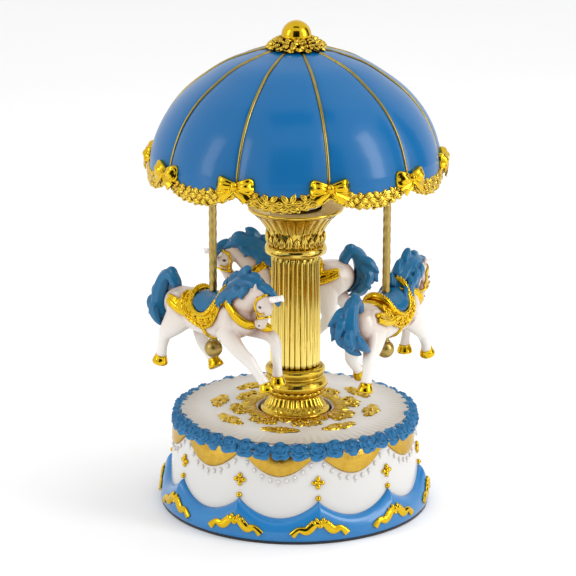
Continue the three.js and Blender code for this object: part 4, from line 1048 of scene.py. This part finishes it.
# Painted shadow of the canopy: with height, wobbled by noise, the upper neck, head and back turn beige.
split = node(tree, "ShaderNodeSeparateXYZ", {"Vector": place.outputs["Object"]})
drift = node(tree, "ShaderNodeTexNoise", {"Vector": place.outputs["Object"], "Scale": 45.0, "Detail": 2.0})
waver = node(tree, "ShaderNodeMath", {0: drift.outputs["Fac"], 1: 16 * MM, 2: split.outputs["Z"]}, operation="MULTIPLY_ADD")
canopy_shadow_mask = node(tree, "ShaderNodeMapRange", {"Value": waver.outputs[0], "From Min": 88 * MM, "From Max": 110 * MM, "To Max": 0.85})
painted_canopy_shadow = node(tree, "ShaderNodeMix", {0: canopy_shadow_mask.outputs[0], 6: light.outputs[2], 7: srgb("#CCBDB0")}, data_type="RGBA")
tone = node(tree, "ShaderNodeMix", {0: painted_shade_factor.outputs[0], 6: srgb("#A5795F"), 7: painted_canopy_shadow.outputs[2]}, data_type="RGBA")
bump = node(tree, "ShaderNodeBump", {"Height": cloud.outputs["Fac"], "Strength": 0.2, "Distance": 0.3 * MM})
skin = node(tree, "ShaderNodeBsdfPrincipled", {
    "Base Color": tone.outputs[2], "Roughness": 0.3, "IOR": 1.5, "Normal": bump.outputs[0],
    "Coat Weight": 0.4, "Coat Roughness": 0.12, "Sheen Weight": 0.1,
})
node(tree, "ShaderNodeOutputMaterial", {"Surface": skin.outputs[0]})


def limb(stations, rings=22, sides=16, ridges=0, ridge=0.0, pinch=0.0):
    """A closed tube through stations (x, y, z, half width, half height); the width lies across the horse."""
    s = np.asarray(stations, float)
    fine = spline(s, rings)
    p = fine[:, :3]
    w = np.maximum(fine[:, 3], 0.12)
    h = np.maximum(fine[:, 4], 0.12)
    ahead = np.gradient(p, axis=0)
    ahead /= np.linalg.norm(ahead, axis=1)[:, None]
    across = np.array([0.0, 1.0, 0.0]) - ahead * ahead[:, 1:2]
    across /= np.linalg.norm(across, axis=1)[:, None]
    up = np.cross(across, ahead)
    a = np.linspace(0, 2 * math.pi, sides, endpoint=False)
    swell = 1 + ridge * np.cos(ridges * a)
    grid = (p[:, None] + across[:, None] * (w[:, None] * np.cos(a) * swell * (1 - pinch * np.sin(a)))[..., None]
            + up[:, None] * (h[:, None] * np.sin(a) * swell)[..., None])
    vertices, faces = lattice(grid, False, True)
    faces += [tuple(range(sides))[::-1], tuple(range((rings - 1) * sides, rings * sides))]
    return vertices, faces


def fused(name, parts, voxel, rounds):
    """The union of closed parts as one smooth skin: a mesh, in mm."""
    vertices, faces = gather(parts)
    mesh = bpy.data.meshes.new(name)
    mesh.from_pydata(vertices.tolist(), [], faces)
    holder = bpy.data.objects.new(name, mesh)
    bpy.context.collection.objects.link(holder)
    remesh = holder.modifiers.new("skin", "REMESH")
    remesh.mode = "VOXEL"
    remesh.voxel_size = voxel
    blur = holder.modifiers.new("blur", "SMOOTH")
    blur.factor = 0.5
    blur.iterations = rounds
    bpy.context.view_layer.update()
    done = bpy.data.meshes.new_from_object(holder.evaluated_get(bpy.context.evaluated_depsgraph_get()))
    bpy.data.objects.remove(holder)
    return done


BODY = [
    [(-29.4, 0, 98.4, 1.6, 1.6), (-27.8, 0, 98, 4.8, 5), (-24, 0, 97, 7.4, 7.8), (-18, 0, 95.8, 8.7, 9.2),
     (-10, 0, 95, 8.5, 9.3), (-2, 0, 95, 8.4, 9.6), (6, 0, 95.5, 8.5, 9.9), (13, 0, 96.4, 8.2, 9.8),
     (19, 0, 97.8, 6.8, 8.4), (23.5, 0, 99, 4.6, 5.8), (25.8, 0, 99.8, 1.8, 2)],
    [(9, 0, 97, 6.6, 8.4), (14, 0, 100.6, 6.1, 8.2), (19, 0, 105, 5.1, 7.4), (24, 0, 109, 4.1, 6.3),
     (28.5, 0, 111, 3.5, 5), (32, 0, 110.6, 2.9, 3.4), (33.6, 0, 109.6, 1.6, 1.8)],
    [(30.4, 0, 111.6, 1.4, 1.8), (32.3, 0, 109.3, 3.1, 4.0), (33.2, 0, 106.2, 3.3, 4.4), (33.0, 0, 103.2, 2.8, 3.7),
     (32.2, 0, 100.4, 2.3, 2.8), (31.5, 0, 98.2, 2.25, 2.5), (30.9, 0, 96.5, 2.0, 2.1), (30.5, 0, 95.3, 1.0, 1.0)],
    [(13, -5, 93, 4.2, 6.6), (19, -5.4, 86.8, 3.5, 4.3), (24.2, -4.8, 82.6, 2.9, 3.3), (27.4, -4, 80.3, 2.8, 3.1),
     (30.2, -3.2, 77.0, 2.3, 2.5), (33, -2.3, 73.6, 2.1, 2.3), (34.8, -1.8, 71.2, 2.3, 2.5), (35.6, -1.6, 69.6, 2.2, 2.2)],
    [(12, 5, 94, 4.2, 6.6), (20, 6, 92.2, 3.5, 4.6), (27, 6.8, 91, 2.9, 3.3), (31.3, 7.1, 89.4, 2.8, 3.1),
     (33.1, 7.4, 86.4, 2.5, 2.7), (33.2, 7.9, 81, 2.1, 2.3), (33, 8.4, 75.4, 2.0, 2.2), (32.8, 8.7, 72.2, 2.3, 2.4),
     (32.8, 8.8, 70.2, 2.2, 2.2)],
    [(-15.5, -4.4, 94.5, 4.8, 8.6), (-20.5, -5.8, 88, 4.2, 6.0), (-24.6, -6.6, 83.2, 3.2, 4.0), (-26, -6.8, 80.4, 2.7, 3.1),
     (-27, -6.9, 76.4, 2.2, 2.5), (-27.7, -6.9, 73, 2.4, 2.6), (-28.3, -6.9, 70.2, 2.2, 2.2)],
    [(-13.5, 4.4, 94.5, 4.8, 8.6), (-15.6, 6.8, 85.6, 4.1, 5.4), (-16.4, 8, 79.6, 3.1, 3.7), (-15.2, 8.3, 76.2, 2.7, 3.0),
     (-12.2, 8.4, 72.9, 2.2, 2.4), (-9.9, 8.5, 70.8, 2.4, 2.5), (-8.6, 8.5, 69.4, 2.2, 2.2)],
]
body_parts = [limb(rows, 30 if i < 2 else 24, 18) for i, rows in enumerate(BODY)]
for side in (-1, 1):
    body_parts += [
        ball((14, side * 5.2, 95.5), (6.2, 3.6, 8.2), 10), ball((-18.5, side * 4.8, 95.5), (7, 4.2, 8.4), 10),
        ball((31.4, side * 2.1, 106.6), (2.7, 1.4, 2.9), 8), ball((34.4, side * 2.3, 107.6), (1.1, 0.9, 0.75), 8),
        ball((31.4, side * 1.35, 97.6), (0.9, 0.8, 0.9), 8),
        limb([(29.6, side * 2.0, 111.6, 1.1, 1.1), (29.9, side * 2.6, 113.8, 1.25, 0.9), (30.4, side * 2.9, 115.8, 0.7, 0.5),
              (30.8, side * 3.0, 117.0, 0.2, 0.2)], 10, 10),
    ]
body_parts.append(limb([(29.6, 0, 95.4, 0.9, 0.9), (29.2, 0, 96.6, 1.8, 1.3), (29.4, 0, 99.2, 2.0, 1.6)], 8, 10))
horse_skin = fused("horse_skin", body_parts, 0.42, 5)
HIDE = BVHTree.FromPolygons([v.co[:] for v in horse_skin.vertices], [p.vertices[:] for p in horse_skin.polygons])


def onto(start, aim):
    """Where the hide is first met from start towards aim, and the direction out of it."""
    start, aim = Vector(start), Vector(aim)
    spot, out, _, _ = HIDE.ray_cast(start, (aim - start).normalized())
    if spot is None:
        spot, out, _, _ = HIDE.find_nearest(aim)
    if out.dot(start - aim) < 0:
        out = -out
    return np.array(spot), np.array(out)


def in_metres(mesh, transform):
    copy = mesh.copy()
    copy.transform(Matrix.Scale(MM, 4))
    copy.transform(transform)
    return copy


def rider_matrix(angle, heading, drop):
    a = math.radians(angle)
    return (Matrix.Translation((POLE_CIRCLE * math.cos(a) * MM, POLE_CIRCLE * math.sin(a) * MM, drop * MM))
            @ Matrix.Rotation(math.radians(heading), 4, "Z"))


def thrice(name, mesh, material, angle=60):
    """The same part on each of the three horses."""
    mesh.materials.clear()
    mesh.materials.append(material)
    for rider, place_at, heading, drop in RIDERS:
        made = bpy.data.objects.new(f"{name}_{rider}", in_metres(mesh, rider_matrix(place_at, heading, drop)))
        bpy.context.collection.objects.link(made)
        smooth(made, angle)
        settle(made, "rotor", [f"horse_{rider}"])


def mesh_of(name, parts):
    vertices, faces = gather(parts)
    mesh = bpy.data.meshes.new(name)
    mesh.from_pydata(np.asarray(vertices).tolist(), [], faces)
    shape = bmesh.new()
    shape.from_mesh(mesh)
    bmesh.ops.recalc_face_normals(shape, faces=shape.faces)
    shape.to_mesh(mesh)
    shape.free()
    return mesh


thrice("horse_body", horse_skin, pearl, 0)


# ---------------------------------------------------------------- eyes and nostrils
# The eyes are painted on the cast lids in glossy black over white, and the nostrils touched in
# with a dark dot.
gloss_black, tree = new_material("gloss_black_enamel")
place = node(tree, "ShaderNodeTexCoord")
wave = node(tree, "ShaderNodeTexNoise", {"Vector": place.outputs["Object"], "Scale": 600.0})
tone = node(tree, "ShaderNodeMix", {0: wave.outputs["Fac"], 6: srgb("#101014"), 7: srgb("#26222A")}, data_type="RGBA")
enamel = node(tree, "ShaderNodeBsdfPrincipled", {"Base Color": tone.outputs[2], "Roughness": 0.12, "Coat Weight": 0.6})
node(tree, "ShaderNodeOutputMaterial", {"Surface": enamel.outputs[0]})

eye_parts = []
for side in (-1, 1):
    spot, out = onto((33.6, side * 20, 106.4), (33.6, 0, 106.4))
    along = np.cross(out, UP)
    along /= np.linalg.norm(along)
    rise = np.cross(along, out)
    eye_parts.append(ball(spot, (0.95, 0.62, 0.3), 7, np.stack([along, rise, out], -1)))
    spot, out = onto((31.9, side * 20, 97.3), (31.9, 0, 97.3))
    eye_parts.append(ball(spot, (0.42, 0.42, 0.42), 6))
thrice("horse_eyes", mesh_of("horse_eyes", eye_parts), gloss_black)


# ---------------------------------------------------------------- hooves
# The hooves are cast with the legs as little bells and painted in bright gold leaf lacquer.
hoof_parts = []
for top, toe in (((35.3, -1.65, 70.9), (36.7, -1.45, 67.35)), ((32.8, 8.8, 71.5), (32.9, 8.8, 67.6)),
                 ((-28.0, -6.9, 71.5), (-29.1, -6.9, 67.4)), ((-9.3, 8.5, 70.5), (-6.9, 8.5, 66.9))):
    top, toe = np.array(top), np.array(toe)
    rows = []
    for t, size in ((-0.1, 1.9), (0.0, 2.4), (0.14, 2.45), (0.4, 2.85), (0.72, 3.2), (0.92, 3.15), (1.0, 2.6)):
        rows.append([*(top + (toe - top) * t), size * 1.13, size * 1.18])
    hoof_parts.append(limb(rows, 18, 20))
thrice("horse_hooves", mesh_of("horse_hooves", hoof_parts), bright_gold, 40)


# ---------------------------------------------------------------- forehead tufts
# A short stiff tuft stands off each forehead like a little horn, cast with the head and left pearl
# white; the grey flecks in its colour are painted in for the play of light on its rough surface.
speckled, tree = new_material("pearl_white_with_painted_sparkle")
place = node(tree, "ShaderNodeTexCoord")
# Painted light: these grey flecks stand for the glints and pits of a rough, sugary surface.
fleck = node(tree, "ShaderNodeTexVoronoi", {"Vector": place.outputs["Object"], "Scale": 1300.0})
painted_sparkle_flecks = node(tree, "ShaderNodeMapRange", {"Value": fleck.outputs["Distance"], "From Min": 0.18, "From Max": 0.34})
tone = node(tree, "ShaderNodeMix", {0: painted_sparkle_flecks.outputs[0], 6: srgb("#A8968E"), 7: srgb("#F3EFEC")}, data_type="RGBA")
bump = node(tree, "ShaderNodeBump", {"Height": painted_sparkle_flecks.outputs[0], "Strength": 0.5, "Distance": 0.2 * MM})
skin = node(tree, "ShaderNodeBsdfPrincipled", {
    "Base Color": tone.outputs[2], "Roughness": 0.35, "IOR": 1.5, "Normal": bump.outputs[0], "Coat Weight": 0.3,
})
node(tree, "ShaderNodeOutputMaterial", {"Surface": skin.outputs[0]})

horn = [(33.4, 0.8, 108.4, 1.5, 1.5), (35.6, 1.2, 109.4, 1.75, 1.75), (38, 1.5, 110.1, 1.6, 1.6), (40.2, 1.8, 110.7, 1.35, 1.35),
        (42, 2.0, 111.2, 1.1, 1.1), (42.9, 2.1, 111.4, 0.6, 0.6)]
thrice("horse_tuft", fused("horse_tuft", [limb(horn, 30, 14)] + [
    ball((x, y + 0.9 * math.sin(k * 2.2), z + 0.9 * math.cos(k * 2.2)), (0.8, 0.8, 0.8), 6)
    for k, (x, y, z) in enumerate(spline([row[:3] for row in horn], 9))], 0.22, 2), speckled, 0)


# ---------------------------------------------------------------- mane and tail
# Mane, forelock and tail are thick curled locks modelled in the casting and painted glossy blue.
# The mane rises to a wind-blown point over the neck, and the tail streams up and over.
hair_blue, tree = new_material("glossy_mane_blue")
place = node(tree, "ShaderNodeTexCoord")
# Painted shade: the occlusion mask below darkens the blue to ink between the locks.
hollow = node(tree, "ShaderNodeAmbientOcclusion", {"Distance": 2.0 * MM}, samples=6)
painted_shade_factor = node(tree, "ShaderNodeMapRange", {"Value": hollow.outputs["AO"], "From Min": 0.3, "From Max": 0.95})
cloud = node(tree, "ShaderNodeTexNoise", {"Vector": place.outputs["Object"], "Scale": 180.0, "Detail": 4.0})
light = node(tree, "ShaderNodeMix", {0: cloud.outputs["Fac"], 6: srgb("#0E567F"), 7: srgb("#1B6993")}, data_type="RGBA")
tone = node(tree, "ShaderNodeMix", {0: painted_shade_factor.outputs[0], 6: srgb("#0B2F55"), 7: light.outputs[2]}, data_type="RGBA")
bump = node(tree, "ShaderNodeBump", {"Height": cloud.outputs["Fac"], "Strength": 0.2, "Distance": 0.3 * MM})
paint = node(tree, "ShaderNodeBsdfPrincipled", {
    "Base Color": tone.outputs[2], "Roughness": 0.24, "IOR": 1.5, "Specular IOR Level": 0.28, "Normal": bump.outputs[0],
    "Coat Weight": 0.2, "Coat Roughness": 0.08,
})
node(tree, "ShaderNodeOutputMaterial", {"Surface": paint.outputs[0]})


def lock(points, width, height, taper=0.75):
    """A curl of hair: a tube that swells near its root and thins to a point, grooved along its length."""
    line = spline(points, 22)
    t = np.linspace(0, 1, 22)
    shape = np.clip(0.45 + 2.2 * t, 0, 1) * np.clip(1 - (np.clip(t - 0.35, 0, 1) / 0.66) ** 1.6, 0.05, 1) ** taper
    return limb(np.column_stack([line, width * shape, height * shape]), 22, 20, 5, 0.09)


mane_parts = [
    limb([(8, 0.6, 103.4, 2.4, 1.6), (11, 0.8, 108, 4.4, 3.4), (16, 1, 111.8, 5.2, 4.4), (21.5, 1.1, 114.6, 5.0, 4.4),
          (27, 1, 115.2, 4.2, 3.2), (31.5, 0.8, 113.6, 2.9, 2.2), (35, 0.6, 111.4, 1.3, 1.2)], 28, 24, 7, 0.05),
]
for points, width, height in (
    ([(17.5, 0.6, 112), (19, 1, 117), (21, 1.3, 120.2), (23.4, 1.4, 121.9)], 2.5, 3.3),
    ([(23, 0.6, 114.8), (24.6, 0.8, 117.6), (27.4, 1.0, 118.4), (30.4, 0.8, 116.6)], 2.2, 2.3),
    ([(13, 0.8, 109.6), (12.4, 1.2, 113.6), (14, 1.5, 116.6), (16.8, 1.5, 117.8)], 2.2, 2.8),
    ([(9.5, 0.8, 106), (7.6, 1.4, 109), (7.4, 1.8, 111.8), (9.2, 2, 113.8)], 1.9, 2.3),
    ([(29, 0.5, 114.6), (33, 0.8, 114.8), (36.8, 1.6, 112.8), (39.4, 2.6, 109.2)], 1.9, 1.8),
    ([(34, 1.2, 112.4), (37.4, 2.4, 110.4), (38.6, 3.2, 108), (38.0, 3.6, 106)], 1.7, 1.7),
):
    mane_parts.append(lock(points, width, height))
for side in (-1, 1):
    for points, width, height in (
        ([(26.6, side * 2, 114.8), (24.8, side * 4.2, 113), (23.2, side * 4.9, 110.4), (24.2, side * 5.0, 108.2)], 1.4, 2.1),
        ([(22.0, side * 2.6, 114.2), (19.4, side * 5.0, 111.2), (17.0, side * 6.0, 107.6), (18.4, side * 6.6, 104.8)], 1.5, 2.7),
        ([(17.0, side * 2.6, 111.6), (13.6, side * 5.3, 108.4), (10.8, side * 6.9, 105), (12.6, side * 7.7, 102.2)], 1.6, 2.7),
        ([(12.6, side * 2.4, 108.8), (9.4, side * 5.0, 106.4), (6.6, side * 6.7, 103.8), (6.4, side * 7.3, 101.6)], 1.4, 2.1),
        ([(20, side * 4, 112.4), (16.4, side * 5.9, 110), (13.4, side * 6.9, 108.6), (10.8, side * 7.0, 109.2)], 1.2, 1.7),
        ([(24.8, side * 3.4, 113.4), (22.6, side * 5.1, 111.6), (20.6, side * 5.9, 109.8), (18.2, side * 6.2, 109.6)], 1.1, 1.5),
    ):
        mane_parts.append(lock(points, width, height))
tail_parts = [limb([
    (-24, 0, 101.5, 2.2, 2.2), (-25, -0.2, 105.6, 2.8, 2.8), (-27.6, -0.4, 108.6, 3, 2.8), (-31, -0.6, 107.2, 3.4, 3.4),
    (-33.2, -0.8, 102.6, 4.1, 4.0), (-34, -1.2, 97.2, 4.6, 4.6), (-32.6, -2, 92.2, 4.0, 4.0), (-29.4, -3.4, 88.4, 2.6, 2.6),
], 30, 24, 7, 0.05)]
for points, width, height in (
    ([(-27, 0, 107.0), (-26.6, 0, 109.8), (-28.4, -0.2, 111.0), (-31, -0.4, 110.0)], 2.0, 2.2),
    ([(-31, 1.6, 106), (-36, 2.6, 103.8), (-38.6, 4.2, 100.8), (-41.2, 5.7, 99.4)], 2.3, 2.7),
    ([(-33, 0.4, 103), (-38, 0.4, 100), (-39.2, 0.6, 96.2), (-41, 1.8, 93.6)], 2.3, 2.9),
    ([(-34, -2, 99), (-37.6, -3.4, 95), (-36.6, -4.4, 91), (-38.6, -5, 88.6)], 2.2, 2.8),
    ([(-33, -3.6, 97), (-33.6, -6, 92.6), (-30.4, -7.4, 89), (-26.4, -8, 86)], 2.3, 2.7),
    ([(-33.4, 2.6, 97), (-34.2, 3.2, 92.4), (-31, 0.8, 88.6), (-27, -2, 86)], 2.3, 2.7),
    ([(-34.2, 0, 93), (-34, -1, 89.4), (-31.6, -3.4, 86.6), (-29.0, -5.2, 84.8)], 2.1, 2.4),
    ([(-32, 3, 102), (-36, 5, 98.2), (-35, 6, 94), (-36.8, 6.2, 91)], 2.0, 2.4),
):
    tail_parts.append(lock(points, width, height))
thrice("horse_mane", fused("horse_mane", mane_parts, 0.3, 7), hair_blue, 0)
thrice("horse_tail", fused("horse_tail", tail_parts, 0.3, 9), hair_blue, 0)


# ---------------------------------------------------------------- saddle and tack
# The seat is a painted blue cushion framed by an ornate gold saddle cloth; girth, breast collar
# and bridle are narrow raised straps. All are cast on the horse and gilded or painted by hand.
def strap(line, width, thick, out):
    line, out = spline(line, 5 * len(line)), spline(out, 5 * len(out))
    out = out / (np.linalg.norm(out, axis=1)[:, None] + 1e-9)
    return flat_ribbon(line + out * thick * 0.5, width, thick, out, 0.0)


def hoop(centre, u, v, reach, width, thick, start=0.0, stop=2 * math.pi, steps=26, beads=0.0):
    """A strap round the horse in the plane of u and v, found by looking in from reach away."""
    centre, u, v = np.array(centre, float), np.array(u, float), np.array(v, float)
    line, out, extra = [], [], []
    for t in np.linspace(start, stop, steps):
        ray = u * math.cos(t) + v * math.sin(t)
        spot, _ = onto(centre + ray * reach, centre)
        line.append(spot)
        out.append(ray)
        if beads:
            extra.append(ball(spot + ray * thick, (beads, beads, beads), 5))
    return [strap(line, width, thick, out)] + extra


def flank(points, side, width, thick, beads=0.0):
    """A strap along (x, z) points on one side of the horse."""
    line, out, extra = [], [], []
    for x, z in spline(points, 4 * len(points)):
        spot, normal = onto((x, side * 26, z + 2), (x, 0, z))
        line.append(spot)
        out.append(normal)
        if beads:
            extra.append(ball(spot + normal * thick, (beads, beads, beads), 5))
    return [strap(line, width, thick, out)] + extra


AXIS_Z = 96.0


def wrapped(rows, lift, edge=0.16, columns=44, across=45, sag=0.0):
    """A pad laid over the back from rows (x, how many degrees it reaches down each side), raised by lift."""
    rows = np.asarray(rows, float)
    tops, lows = [], []
    for i in range(columns):
        u = i / (columns - 1)
        x = rows[0, 0] + (rows[-1, 0] - rows[0, 0]) * u
        reach = math.radians(np.interp(x, rows[:, 0], rows[:, 1]))
        top_row, low_row = [], []
        for j in range(across):
            v = 2 * j / (across - 1) - 1
            a = v * reach
            ray = np.array([0, math.sin(a), math.cos(a)])
            aim = np.array([x, 0, AXIS_Z])
            spot, _ = onto(aim + ray * 26, aim)
            rim = min(1.0, min(u, 1 - u, 0.8 * (1 - abs(v))) / edge)
            puff = lift * math.sqrt(max(0.0, rim * (2 - rim))) - sag * math.sin(math.pi * u) * math.cos(v * math.pi / 2)
            top_row.append(spot + ray * (puff + 0.1))
            low_row.append(spot - ray * 0.6)
        tops.append(top_row)
        lows.append(low_row[::-1])
    grid = np.concatenate([np.array(tops), np.array(lows)], 1)
    vertices, faces = lattice(grid, False, True)
    n = grid.shape[1]
    faces += [tuple(range(n))[::-1], tuple(range((columns - 1) * n, columns * n))]
    return vertices, faces


def on_back(x, degrees, lift):
    """A point lift above the hide, that many degrees round from the spine, and the direction out."""
    a = math.radians(degrees)
    ray = np.array([0, math.sin(a), math.cos(a)])
    aim = np.array([x, 0, AXIS_Z])
    spot, _ = onto(aim + ray * 26, aim)
    return spot + ray * lift, ray


CLOTH = [(-13.6, 30), (-12.6, 56), (-10.6, 84), (-7.4, 100), (-3, 112), (1.5, 117), (5.5, 111), (8.6, 95), (10.6, 70), (12.2, 28)]
SEAT = [(-7.6, 26), (-6.6, 48), (-4.2, 68), (-1, 78), (2, 79), (5, 72), (7.4, 54), (8.8, 26)]


def edging(rows, lift, width, beads, columns=60):
    """A corded edge round a pad, with beads set along it."""
    rows = np.asarray(rows, float)
    line, out = [], []
    x = rows[:, 0]
    for x0, d0 in list(zip(x, rows[:, 1])) + list(zip(x[::-1], -rows[::-1, 1])):
        spot, ray = on_back(x0, d0, lift)
        line.append(spot)
        out.append(ray)
    line, out = spline(line + line[:1], columns * 2), spline(out + out[:1], columns * 2)
    made = [tube(line, width, width * 0.9, 8, out)]
    for spot, ray in zip(line[::3], out[::3]):
        made.append(ball(spot + ray * width * 0.5, (beads, beads, beads), 5))
    return made


tack_parts = [wrapped(CLOTH, 1.0, 0.06)]
tack_parts += edging(CLOTH, 0.75, 0.8, 0.72)
tack_parts += edging(SEAT, 1.7, 1.0, 0.6, 46)
for side in (-1, 1):
    for x, degrees, size in ((-9.6, 76, 1.6), (-6.6, 90, 1.9), (-2.4, 99, 2.0), (2.4, 100, 1.9), (6.4, 92, 1.7), (9.0, 74, 1.5),
                             (-10.4, 54, 1.5), (-11.0, 38, 1.2), (10.4, 50, 1.2)):
        spot, ray = on_back(x, side * degrees, 1.1)
        tangent = np.array([1.0, 0, 0])
        rise = np.cross(ray, tangent)
        for q in range(5):
            a = 2 * math.pi * q / 5 + x
            tack_parts.append(leaf(spot, tangent * math.cos(a) + rise * math.sin(a), ray, size, size * 0.62, 0.6))
        tack_parts.append(ball(spot + ray * 0.4, (0.5, 0.5, 0.5), 5))
    tack_parts += flank([(-8, 95.4), (-12.6, 95.8), (-17, 97.4), (-20.4, 99.2)], side, 1.7, 1.1, 0.7)
    tack_parts += flank([(-9.6, 99.8), (-13.6, 99.6), (-17.2, 100.4), (-20.8, 100.8)], side, 1.1, 0.9, 0.6)
    tack_parts += flank([(-8, 97.6), (-13, 97.8), (-16.6, 98.9), (-20.0, 100.0)], side, 1.7, 0.8)
    tack_parts += flank([(31.9, 110.4), (30.9, 107.4), (30.9, 104), (31.7, 101)], side, 0.55, 0.45)
    tack_parts += flank([(31.2, 103.6), (33.4, 102.8), (35.4, 103.6)], side, 0.45, 0.4)
# Breast collar, girth, noseband and browband.
tack_parts += hoop((19.4, 0, 101.2), (0, 1, 0), (0.8, 0, -0.6), 16, 2.3, 1.0, 0, 2 * math.pi, 40, 0.75)
tack_parts += hoop((1.2, 0, 95), (0, 1, 0), (0.05, 0, -1), 20, 0.9, 0.7, 0.1, math.pi - 0.1, 22)
tack_parts += hoop((32.0, 0, 100.9), (0, 1, 0), (1, 0, 0.25), 4.4, 0.55, 0.45, 0, 2 * math.pi, 26)
tack_parts += hoop((31.6, 0, 109.4), (0, 1, 0), (0.8, 0, 0.6), 6, 0.55, 0.45, -0.1, math.pi + 0.1, 18, 0.36)
# Cantle and pommel: two rolled arches across the back, behind and before the seat.
for x, lean, peak, width in ((-8.2, -0.35, 2.6, 1.7), (10.0, 0.3, 2.9, 1.5)):
    line, out = [], []
    for d in np.linspace(-62, 62, 21):
        arch = math.cos(math.radians(d) * 1.45)
        spot, ray = on_back(x + lean * 6 * (1 - arch) * -1, d, 0.6 + (peak - 0.6) * max(0, arch))
        line.append(spot)
        out.append(ray)
    tack_parts.append(tube(spline(line, 40), width * (0.55 + 0.45 * np.sin(np.linspace(0, math.pi, 40))), 1.3, 12, spline(out, 40)))
    for spot, ray in zip(line[1:-1], out[1:-1]):
        tack_parts.append(ball(spot + ray * 1.2, (0.62, 0.62, 0.5), 5))
thrice("horse_tack", mesh_of("horse_tack", tack_parts), bright_gold, 60)
thrice("horse_seat", mesh_of("horse_seat", [wrapped(SEAT, 2.4, 0.3, 40, 41, 0.5)]), hair_blue, 0)


# ---------------------------------------------------------------- musical movement
# Inside the base sits an eighteen-note wind-up movement: zinc bedplate and feet, steel comb,
# pinned brass cylinder, spring barrel and gears, governor with its fan, click, ratchet and key.
def metal_finish(name, dark, bright, roughness, scale, metallic=1.0):
    """A worked metal: tone and roughness drift with fine brushing."""
    made, tree = new_material(name)
    place = node(tree, "ShaderNodeTexCoord")
    brushing = node(tree, "ShaderNodeTexNoise", {"Vector": place.outputs["Object"], "Scale": scale, "Detail": 5.0, "Distortion": 0.4})
    tone = node(tree, "ShaderNodeMix", {0: brushing.outputs["Fac"], 6: srgb(dark), 7: srgb(bright)}, data_type="RGBA")
    rough = node(tree, "ShaderNodeMapRange", {"Value": brushing.outputs["Fac"], "To Min": roughness * 0.7, "To Max": roughness * 1.3})
    bump = node(tree, "ShaderNodeBump", {"Height": brushing.outputs["Fac"], "Strength": 0.2, "Distance": 0.1 * MM})
    surface = node(tree, "ShaderNodeBsdfPrincipled", {
        "Base Color": tone.outputs[2], "Metallic": metallic, "Roughness": rough.outputs[0], "Normal": bump.outputs[0],
    })
    node(tree, "ShaderNodeOutputMaterial", {"Surface": surface.outputs[0]})
    return made


steel = metal_finish("bright_drawn_steel", "#8E9094", "#C4C6CA", 0.26, 500)
brass = metal_finish("turned_brass", "#B08E3C", "#E0C374", 0.28, 420)
zinc = metal_finish("die_cast_zinc", "#85878A", "#ACAEB1", 0.42, 300)

board, tree = new_material("grey_pressed_board")
place = node(tree, "ShaderNodeTexCoord")
fleck = node(tree, "ShaderNodeTexNoise", {"Vector": place.outputs["Object"], "Scale": 800.0, "Detail": 6.0})
tone = node(tree, "ShaderNodeMix", {0: fleck.outputs["Fac"], 6: srgb("#3A3836"), 7: srgb("#5A5753")}, data_type="RGBA")
bump = node(tree, "ShaderNodeBump", {"Height": fleck.outputs["Fac"], "Strength": 0.4, "Distance": 0.15 * MM})
card = node(tree, "ShaderNodeBsdfPrincipled", {"Base Color": tone.outputs[2], "Roughness": 0.8, "Normal": bump.outputs[0]})
node(tree, "ShaderNodeOutputMaterial", {"Surface": card.outputs[0]})

FINISHES = (
    (board, "pressed_board", ("bottom_plate",)),
    (zinc, "zinc", ("movement_frame", "governor_bracket", "drive_flange")),
    (brass, "brass", ("spring_barrel", "pinned_cylinder", "cylinder_wheel", "worm_wheel", "ratchet_wheel", "governor_fan")),
    (steel, "steel", ("comb", "mainspring", "spindle", "cylinder_arbor", "cylinder_pinion", "train_arbor", "train_pinion",
                      "click", "click_stud", "winding_arbor", "winding_key", "plate_screw", "movement_screw", "comb_screw",
                      "pole_nut")),
)
for finish, slot, stems in FINISHES:
    for name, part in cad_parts.items():
        if name.rstrip("_1234") in stems or name in stems or (name.startswith("pole_nut") and "pole_nut" in stems):
            part.data.materials.clear()
            part.data.materials.append(finish)
            part.data.shade_smooth()
            part.data.set_sharp_from_angle(angle=math.radians(30))
